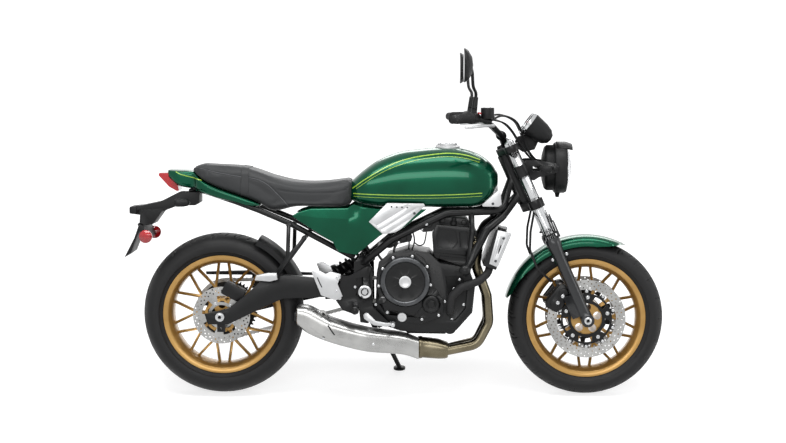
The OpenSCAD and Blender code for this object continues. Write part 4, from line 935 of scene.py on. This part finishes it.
def make_front_fender():
    """The fender's arch with rolled edges, as deep at each angle as the source trims it."""
    trim = [(62, 322), (64, 318), (68.3, 303), (75, 288), (81.8, 280), (102.8, 279),
            (119.8, 281), (137.3, 286), (151.5, 298), (161, 302), (166, 316)]
    arch = [(20, 0.6), (38, 2.6), (52, 6.5), (61, 12), (66.5, 19), (69, 28)]
    rings = []
    for k in range(91):
        angle = 62.3 + 103.4 * k / 90
        low = np.interp(angle, *zip(*trim))
        half = [(0, 321)] + [(y, max(321 - drop, low)) for y, drop in arch] + [(69, low)]
        line = [(-y, r) for y, r in half[:0:-1]] + half
        line += [(y - math.copysign(min(abs(y), 3), y), r - 3 if abs(y) < 60 else r - 0.5)
                 for y, r in line[::-1]]
        rings.append([FRONT_HUB + polar(r, angle, y) for y, r in line])
    arch_mesh = skin(rings)
    tabs = []
    for side in (-1, 1):
        t = [fork_point(FENDER_BOLT + along, 0, across) for across, along in
             ((-22, -24), (20, -24), (24, 16), (-24, 16))]
        tabs.append(plate([[(p.x, p.z) for p in t]], 9, (0, side * 72.5, 0)))
    dressed("front_fender_arch", together(arch_mesh, *tabs), "steering", "green paint", ["front_fender"], 40)


make_front_fender()


# Exhaust

MUFFLER = [(300, 58, 282, 322, 360), (340, 66, 250, 305, 356), (430, 70, 214, 262, 310),
           (560, 70, 182, 235, 272), (700, 60, 168, 215, 250), (760, 44, 150, 190, 230)]


def muffler_mesh():
    rings = []
    for k in range(71):
        x, w, low, wide, high = between(MUFFLER, 300 + 460 * k / 70)
        shift = Vector((0, -182 + w + max(0, x - 560) * 0.16, 0))
        rings.append([Vector(p) + shift for p in body_ring(x, w, low, wide, high, 0.6, 0.6, 64)])
    middle = sum(rings[0], Vector()) / 64
    cap = [[middle + (p - middle) * s + Vector((-out, 0, 0)) for p in rings[0]]
           for s, out in ((0.7, 5), (0.9, 4), (0.97, 2))]
    return skin(cap + rings)


body_mesh = muffler_mesh()
muffler_tree = tree_of(body_mesh)


def guard_y(x, z):
    hit, _ = touched(muffler_tree, x, z)
    return 3.4 - hit.y if hit else 150


guard_top = [(325, 344), (400, 344), (432, 290), (609, 236)]
guard_bottom = [(325, 300), (392, 249), (566, 199), (609, 199)]
guard = panel(guard_top, guard_bottom, guard_y, 3.2, 60, 14, 1.4)
dressed("muffler_body", body_mesh, "frame", "brushed steel", ["muffler"], 40)
dressed("muffler_guard", guard, "frame", "brushed steel", crease=30)
dressed("muffler_slot", laid(muffler_tree, [(416, 289), (428, 271), (441, 253)], 5, 4.1),
        "frame", "black paint")
dressed("muffler_outlet", spun([(14, -6), (14, 12), (19, 12), (21, 6), (21, -6)],
                               (298, -140, 318), (-1, 0, 0.05), 40, joined=True),
        "frame", "black paint")
places = []
for x, z in ((380, 334), (398, 241), (588, 218)):
    hit, normal = touched(muffler_tree, x, z)
    places.append((hit + normal * 3, normal))
bolts("muffler_bolts", "frame", 4.2, places)


def make_headers():
    pipes = []
    for y in (-60, 60):
        start = [Vector((962, y, 590))]
        start += [Vector((965.3 + 21 * math.sin(a), y, 569 + 21 * math.cos(a)))
                  for a in np.radians(range(0, 90, 12))]
        rest = bent([(986.3, y, 569), (978, y, 510), (1022, y, 390), (1030, y, 285),
                     (985, y * 0.7 - 24, 200), (870, y * 0.4 - 52, 178),
                     (790, y * 0.36 - 60, 185)], 60)
        pipes.append(tube(start + rest, 19, 28))
        pipes.append(spun([(0, 0), (28, 0), (28, 5), (26, 7), (20, 7), (20, 10), (0, 10)],
                          (961.6, y, 590), (1, 0, 0), 36))
    collector = [[Vector(p) + Vector((0, -66, 0)) for p in
                  body_ring(x, w, low, wide, high, 0.8, 0.8, 48)] for x, w, low, wide, high in
                 ((756, 43, 150, 190, 229), (762, 46, 146, 190, 232), (770, 46, 146, 190, 232),
                  (774, 44, 149, 189, 229), (800, 46, 147, 187, 226), (836, 48, 145, 183, 221),
                  (862, 46, 146, 181, 212), (872, 44, 150, 180, 208))]
    pipes.append(skin(collector))
    dressed("header_pipes", together(*pipes), "frame", "header steel", ["headers"], 40)


make_headers()


# Fork, lamp, gauges and controls

def make_steering_details():
    caps, clamps, places = [], [], []
    for y in (-FORK_Y, FORK_Y):
        axis = fork_point(1) - fork_point(0)
        caps.append(spun([(0, -2), (17, -2), (17, 5), (14, 7), (9, 7), (9, 11), (0, 11)],
                         fork_point(FORK_TOP, y), axis, 30))
        clamps.append(spun([(24, 0), (26.2, 0), (27.6, 1.5), (27.6, 5), (26.2, 6.5), (24, 6.5)],
                           fork_point(SLIDER_TOP, y), axis, 48, joined=True))
        way = Vector((0, math.copysign(1, y), 0))
        for ahead in (30, -27):
            places.append((fork_point(FENDER_BOLT, math.copysign(77.5, y), ahead), way))
    dressed("fork_caps", together(*caps), "steering", "bright steel")
    dressed("fork_dust_seals", together(*clamps), "steering", "grip rubber")
    bolts("fender_bolts", "steering", 4.6, places)


make_steering_details()


def make_lamp_reflector():
    bowl = spun([(87.4, 0.4), (69.4, -33.2), (52, -45.4), (33.4, -55.2), (17, -59.2),
                 (17, -58.4), (33.2, -54.3), (51.6, -44.5), (68.8, -32.6), (86.6, 0.4)],
                LAMP_FRONT, (1, 0, 0), 72, joined=True)
    ring = spun([(88.2, 3.5), (94, 6.6), (95, 7.6), (92.4, 9.2), (88.2, 8.4)],
                LAMP_FRONT, (1, 0, 0), 72, joined=True)
    visor = spun([(15.6, -30), (24, -30), (24, -18), (20, -12), (0, -10), (0, -11), (15.6, -13)],
                 LAMP_FRONT, (1, 0, 0), 40)
    dressed("lamp_reflector", bowl, "steering", "bright steel")
    dressed("lamp_rim", ring, "steering", "black paint")
    dressed("lamp_shield", visor, "steering", "bright steel")


make_lamp_reflector()


def make_grip_ribs():
    """Raised ribs round both grips."""
    start, end = Vector((889, 400, 1072)), Vector((985, 215, 1076))
    places = []
    way = (start - end).normalized()
    grip_in = end + (start - end) * 0.36
    length = (start - grip_in).length - 20
    for side in (-1, 1):
        out = Vector((way.x, way.y * side, way.z))
        base = Vector((grip_in.x, grip_in.y * side, grip_in.z))
        for k in range(22):
            places.append((base + out * (14 + (length - 14) * k / 21), facing(out)))
    rib = spun([(15.9, -1.1), (17.1, -0.8), (17.4, 0), (17.1, 0.8), (15.9, 1.1)], (0, 0, 0),
               (0, 0, 1), 32, joined=True)
    dressed("grip_ribs", repeated(rib, places, F["grip rubber"]), "steering", "grip rubber")


make_grip_ribs()


def make_cables():
    """Two cables a side, from the bar and the switch housings into the lamp's shell."""
    runs = []
    for s, low in ((-1, 58), (1, 50)):
        runs.append(tube(smoothed([(994, s * 217, 1071), (1040, s * 180, 1066),
                                   (1085, s * 120, 1052), (1118, s * 66, 1020),
                                   (1150, s * low, 970), (1190, s * 44, 918),
                                   (1240, s * 34, 894)], 8), 3.4, 10))
        runs.append(tube(smoothed([(1022, s * 236, 1062), (1072, s * 170, 1082),
                                   (1128, s * 84, 1060), (1156, s * 52, 1008),
                                   (1184, s * 38, 940), (1240, s * 24, 880)], 8), 4.2, 10))
    dressed("control_cables", together(*runs), "steering", "black plastic")


make_cables()


def make_gauge_marks():
    """A ring of plain ticks and a needle on each dial."""
    out = GAUGE_OUT
    up = Vector((math.cos(GAUGE_TILT), 0, math.sin(GAUGE_TILT)))
    side = Vector((0, 1, 0))
    places, needles = [], []
    for place in GAUGE_PLACES:
        middle = Vector(place) - out * 2.8
        for k in range(25):
            a = math.radians(-125 + 250 * k / 24)
            spoke = up * math.cos(a) + side * math.sin(a)
            places.append((middle + spoke * 34, axes(out.cross(spoke), spoke, out)))
        a = math.radians(-100)
        spoke = up * math.cos(a) + side * math.sin(a)
        needles.append(tube([middle + out * 0.9 - spoke * 6, middle + out * 0.9 + spoke * 28],
                            [1.3, 0.5], 8))
        needles.append(spun([(0, 0), (5, 0), (4.4, 2), (0, 2.4)], middle, out, 24))
    tick = spun([(0.7, -3), (0.7, 3)], (0, 0, 0), (0, 1, 0), 6)
    dressed("dial_marks", repeated(tick, places, F["silver aluminium"]), "steering",
            "silver aluminium")
    dressed("dial_needles", together(*needles), "steering", "red lens")


make_gauge_marks()
dressed("gauge_bezels", together(*[spun(
    [(41.4, -3), (47.6, -12), (48.6, -11), (48.6, -2.4), (46, 0.8), (42, 0.8), (41, -1)],
    place, GAUGE_OUT, 72, joined=True) for place in GAUGE_PLACES]), "steering", "bright steel")


# Smooth copies of the CAD pieces, with rounded edges where castings and forgings have them

SATIN = finish("satin_grey_casting", (0.05, 0.052, 0.055), (0.08, 0.083, 0.087), 0.8,
               (0.24, 0.34), 20, 1600, 0.08)
ROUNDED = {"engine_case": 2.0, "cylinder_head": 1.5, "clutch_cover": 1.2, "left_covers": 1.2,
           "front_calipers": 1.2, "rear_caliper": 1.0, "triple_clamps": 1.2,
           "switch_housings": 1.0, "radiator_covers": 0.8, "side_panels": 0.5,
           "footrest_plates": 0.7, "swing_arms": 1.5, "plate_hanger": 0.8, "pedals": 0.8}
SMOOTH = ["frame", "subframe", "handlebar", "grips", "levers", "mirrors", "gauges",
          "headlight_shell", "headlight_brackets", "front_indicators", "rear_indicators",
          "front_hoses", "coolant_hose", "fork_tubes", "fork_sliders", "front_rim", "rear_rim",
          "swingarm", "hugger", "rear_shock", "red_lenses", "footrests", "side_stand"]


def solid_tree(*names):
    """The named CAD nodes as one upright body that lines can be shot at."""
    points, faces = [], []
    for name in names:
        mesh = nodes[name].data
        first = len(points)
        points += [UNPARK @ v.co for v in mesh.vertices]
        faces += [tuple(first + i for i in p.vertices) for p in mesh.polygons]
    return BVHTree.FromPolygons(points, faces)


for name, width in ROUNDED.items():
    softened(name, width)
for name in SMOOTH:
    softened(name, look=SLIDER if name == "fork_sliders" else None)


# Engine details

def make_engine_details():
    crank = (708, -125, 451)
    dressed("clutch_ring", spun([(76.6, 20), (76.6, 22.6), (80, 25.7), (88.4, 22.7),
                                 (92.6, 19.4), (93.5, 12.4), (98.5, 4.4), (98.5, 1), (90, 1)],
                                crank, RIGHT, 96, joined=True), "frame", "engine black",
            look=SATIN)
    dressed("clutch_centre_disc", spun([(0, 22), (23, 22), (23, 24.6), (21.6, 25.4), (16, 25.4),
                                        (15.4, 25), (0, 25)], crank, RIGHT, 48),
            "frame", "silver aluminium")
    dressed("oil_filler_cap", together(
        spun([(0, 6), (17.4, 6), (17.4, 10), (16, 11.6), (9, 11.6), (8.4, 10.8), (0, 10.8)],
             (696, -125, 314), RIGHT, 40),
        plate([[(-8, -1.6), (8, -1.6), (8, 1.6), (-8, 1.6)]], 3, (696, -136.8, 314))),
        "frame", "silver aluminium")
    dressed("oil_level_window", spun([(0, 0), (11.6, 0), (11.6, 3.6), (10, 4.4), (0, 4.6)],
                                     (623, -125, 382), RIGHT, 32), "frame", "gauge dial")
    dressed("round_cover_plug", spun([(0, 8), (15.5, 8), (15.5, 11), (13.5, 12.6), (0, 12.8)],
                                     (807, -125, 364), RIGHT, 6), "frame", "engine black")
    dressed("pivot_nut", together(
        spun([(0, -2), (13, -2), (13, 4), (11, 6), (0, 6)], (554, -130, 411), RIGHT, 6),
        spun([(15, -2), (24.5, -2), (24.5, 1.6), (22.5, 2.6), (15, 2.6)], (554, -130, 411),
             RIGHT, 48, joined=True)), "frame", "bright steel")
    tree = solid_tree("engine_case", "clutch_cover", "cylinder_head", "footrests", "frame",
                      "footrest_plates", "muffler", "headers")
    spots = [(578, 525), (622, 500), (607, 434), (595, 360), (662, 542), (735, 547),
             (792, 508), (805, 438), (894, 419), (860, 372), (932, 359), (836, 322),
             (772, 306), (887, 301), (789, 669), (640, 332), (916, 455), (517, 429),
             (431, 350), (450, 467), (448, 415)]
    bolts("engine_bolts", "frame", 3.9, seats_on(tree, spots, (-1,)))
    caps = [spun([(0, -3), (12, -3), (12, 10), (9, 14), (9, 24), (0, 24)], (892, y, 668),
                 (0.1, 0, 1), 24) for y in (-93, 93)]
    dressed("coil_caps", together(*caps), "frame", "black plastic")


make_engine_details()


def make_side_fittings():
    """Throttle linkage, starter, cables and a harness seen below the frame's right spar."""
    joined = []
    for loop, out in (([(754, 657), (774, 680), (806, 700), (830, 700), (838, 668), (809, 641),
                        (776, 638)], 100),
                      ([(664, 588), (668, 612), (690, 628), (728, 640), (735, 620), (730, 603)],
                       98)):
        joined.append(plate([loop], 14, (0, -out, 0)))
        middle = sum((Vector((x, 0, z)) for x, z in loop), Vector()) / len(loop)
        joined.append(spun([(0, 0), (13, 0), (13, 5), (11, 8), (0, 8)],
                           middle + Vector((0, -out - 6, 0)), RIGHT, 32))
    for path, r in (([(600, -94, 572), (660, -98, 606), (730, -98, 648), (800, -96, 694),
                      (870, -92, 706)], 8),
                    ([(734, -100, 649), (743, -97, 606), (733, -96, 566)], 3),
                    ([(724, -100, 644), (723, -98, 600), (720, -92, 560)], 3),
                    ([(742, -97, 598), (756, -97, 588), (770, -96, 587), (782, -94, 600),
                      (790, -94, 646)], 2.6),
                    ([(618, -101, 582), (604, -106, 556), (620, -113, 530)], 5),
                    ([(690, -90, 612), (668, -98, 580), (664, -102, 556)], 5)):
        joined.append(tube(smoothed(path, 8), r, 12))
    dressed("side_fittings", together(*joined), "frame", "engine black", crease=30)
    wheel = [spun([(18, 0), (24, 0), (24, 9), (22, 11), (19, 11), (18, 9)], (647, -104, 601),
                  RIGHT, 48, joined=True),
             spun([(0, -8), (18, -8), (18, 3), (6, 3), (6, 8), (0, 8)], (647, -104, 601), RIGHT,
                  32)]
    for a in turns(6):
        wheel.append(tube([(647 + 5 * math.cos(a), -109, 601 + 5 * math.sin(a)),
                           (647 + 19 * math.cos(a), -109, 601 + 19 * math.sin(a))], 2.2, 8))
    dressed("shaft_cap", together(*wheel), "frame", "black plastic", crease=30)
    bolts("fitting_bolts", "frame", 3.2, [((x, y, z), RIGHT) for x, y, z in
                                          ((788, -107, 666), (694, -105, 622), (684, -105, 598),
                                           (716, -105, 628), (772, -107, 648))])


make_side_fittings()


def make_panel_details():
    tree = solid_tree("side_panels", "radiator_covers", "footrest_plates")
    bolts("panel_rivets", "frame", 2.6,
          seats_on(tree, [(656, 737), (676, 736), (696, 735), (716, 734)]), look=SATIN)
    bolts("panel_bolts", "frame", 4.2,
          seats_on(tree, [(743, 712), (1041, 748), (1081, 619), (1051, 532)]), look=SATIN)
    slots = []
    for s in (-1, 1):
        for path, wide in (([(1072, 592), (1066, 576), (1061, 560)], 4.4),
                           ([(374, 468), (382, 449), (391, 430)], 4)):
            slots.append(laid(tree, path, wide, 0.4, s))
    dressed("panel_slots", together(*slots), "frame", "black paint")
    spots = [(FRONT_HUB + polar(130, angle)).xz for angle in (136, 150)]
    bolts("caliper_bolts", "steering", 5.4, seats_on(solid_tree("front_calipers"), spots))


make_panel_details()


def make_axle_ends():
    """Bright rings round the open ends of both axles."""
    for which, hub, body in (("front", FRONT_HUB, "steering"), ("rear", REAR_HUB, "frame")):
        rings = [spun([(7.2, -1), (13, -1), (13, 2), (11.6, 3), (7.2, 3)],
                      (hub.x, hit.y, hub.z), way, 36, joined=True)
                 for hit, way in seats_on(solid_tree(which + "_axle"), [(hub.x + 10, hub.z)])]
        dressed(which + "_axle_ends", together(*rings), body, "bright steel")


make_axle_ends()


def make_radiator_core():
    """Fine fins across the radiator's face."""
    tree = solid_tree("radiator")
    tilt = math.radians(18.7)
    up = Vector((-math.sin(tilt), 0, math.cos(tilt)))
    ahead = Vector((math.cos(tilt), 0, math.sin(tilt)))
    fins = []
    for k in range(30):
        middle = Vector((1005, 0, 513)) + up * (-78 + 156 * k / 29)
        hit, _, _, _ = tree.ray_cast(middle + ahead * 200, -ahead)
        if hit:
            fins.append((hit + ahead * 0.2, (0, tilt, 0)))
    fin = skin([[(-1.5, y, -0.6), (1.2, y, -0.6), (1.2, y, 0.6), (-1.5, y, 0.6)]
                for y in (-112, 112)])
    dressed("radiator_fins", repeated(fin, fins, F["engine black"]), "frame", "engine black")


make_radiator_core()


def make_small_parts():
    dressed("kill_switch", spun([(0, 0), (7, 0), (7, 5), (5.6, 6.4), (0, 6.6)],
                                (984, -262, 1090), (0.2, 0, 1), 24), "steering", "red lens")
    dressed("reservoir_window", spun([(0, 0), (9, 0), (9, 2), (8, 2.8), (0, 3)],
                                     (1039, -246, 1076), (1, 0, 0.1), 24), "steering",
            "gauge dial")
    dressed("reservoir_screws", together(*[
        spun([(0, -1), (3.6, -1), (3.6, 1.2), (0, 1.4)], (1014 + dx, -246 + dy, 1113.6),
             (0, 0, 1), 12) for dx, dy in ((-12, -12), (12, 12))]), "steering", "bright steel")


make_small_parts()
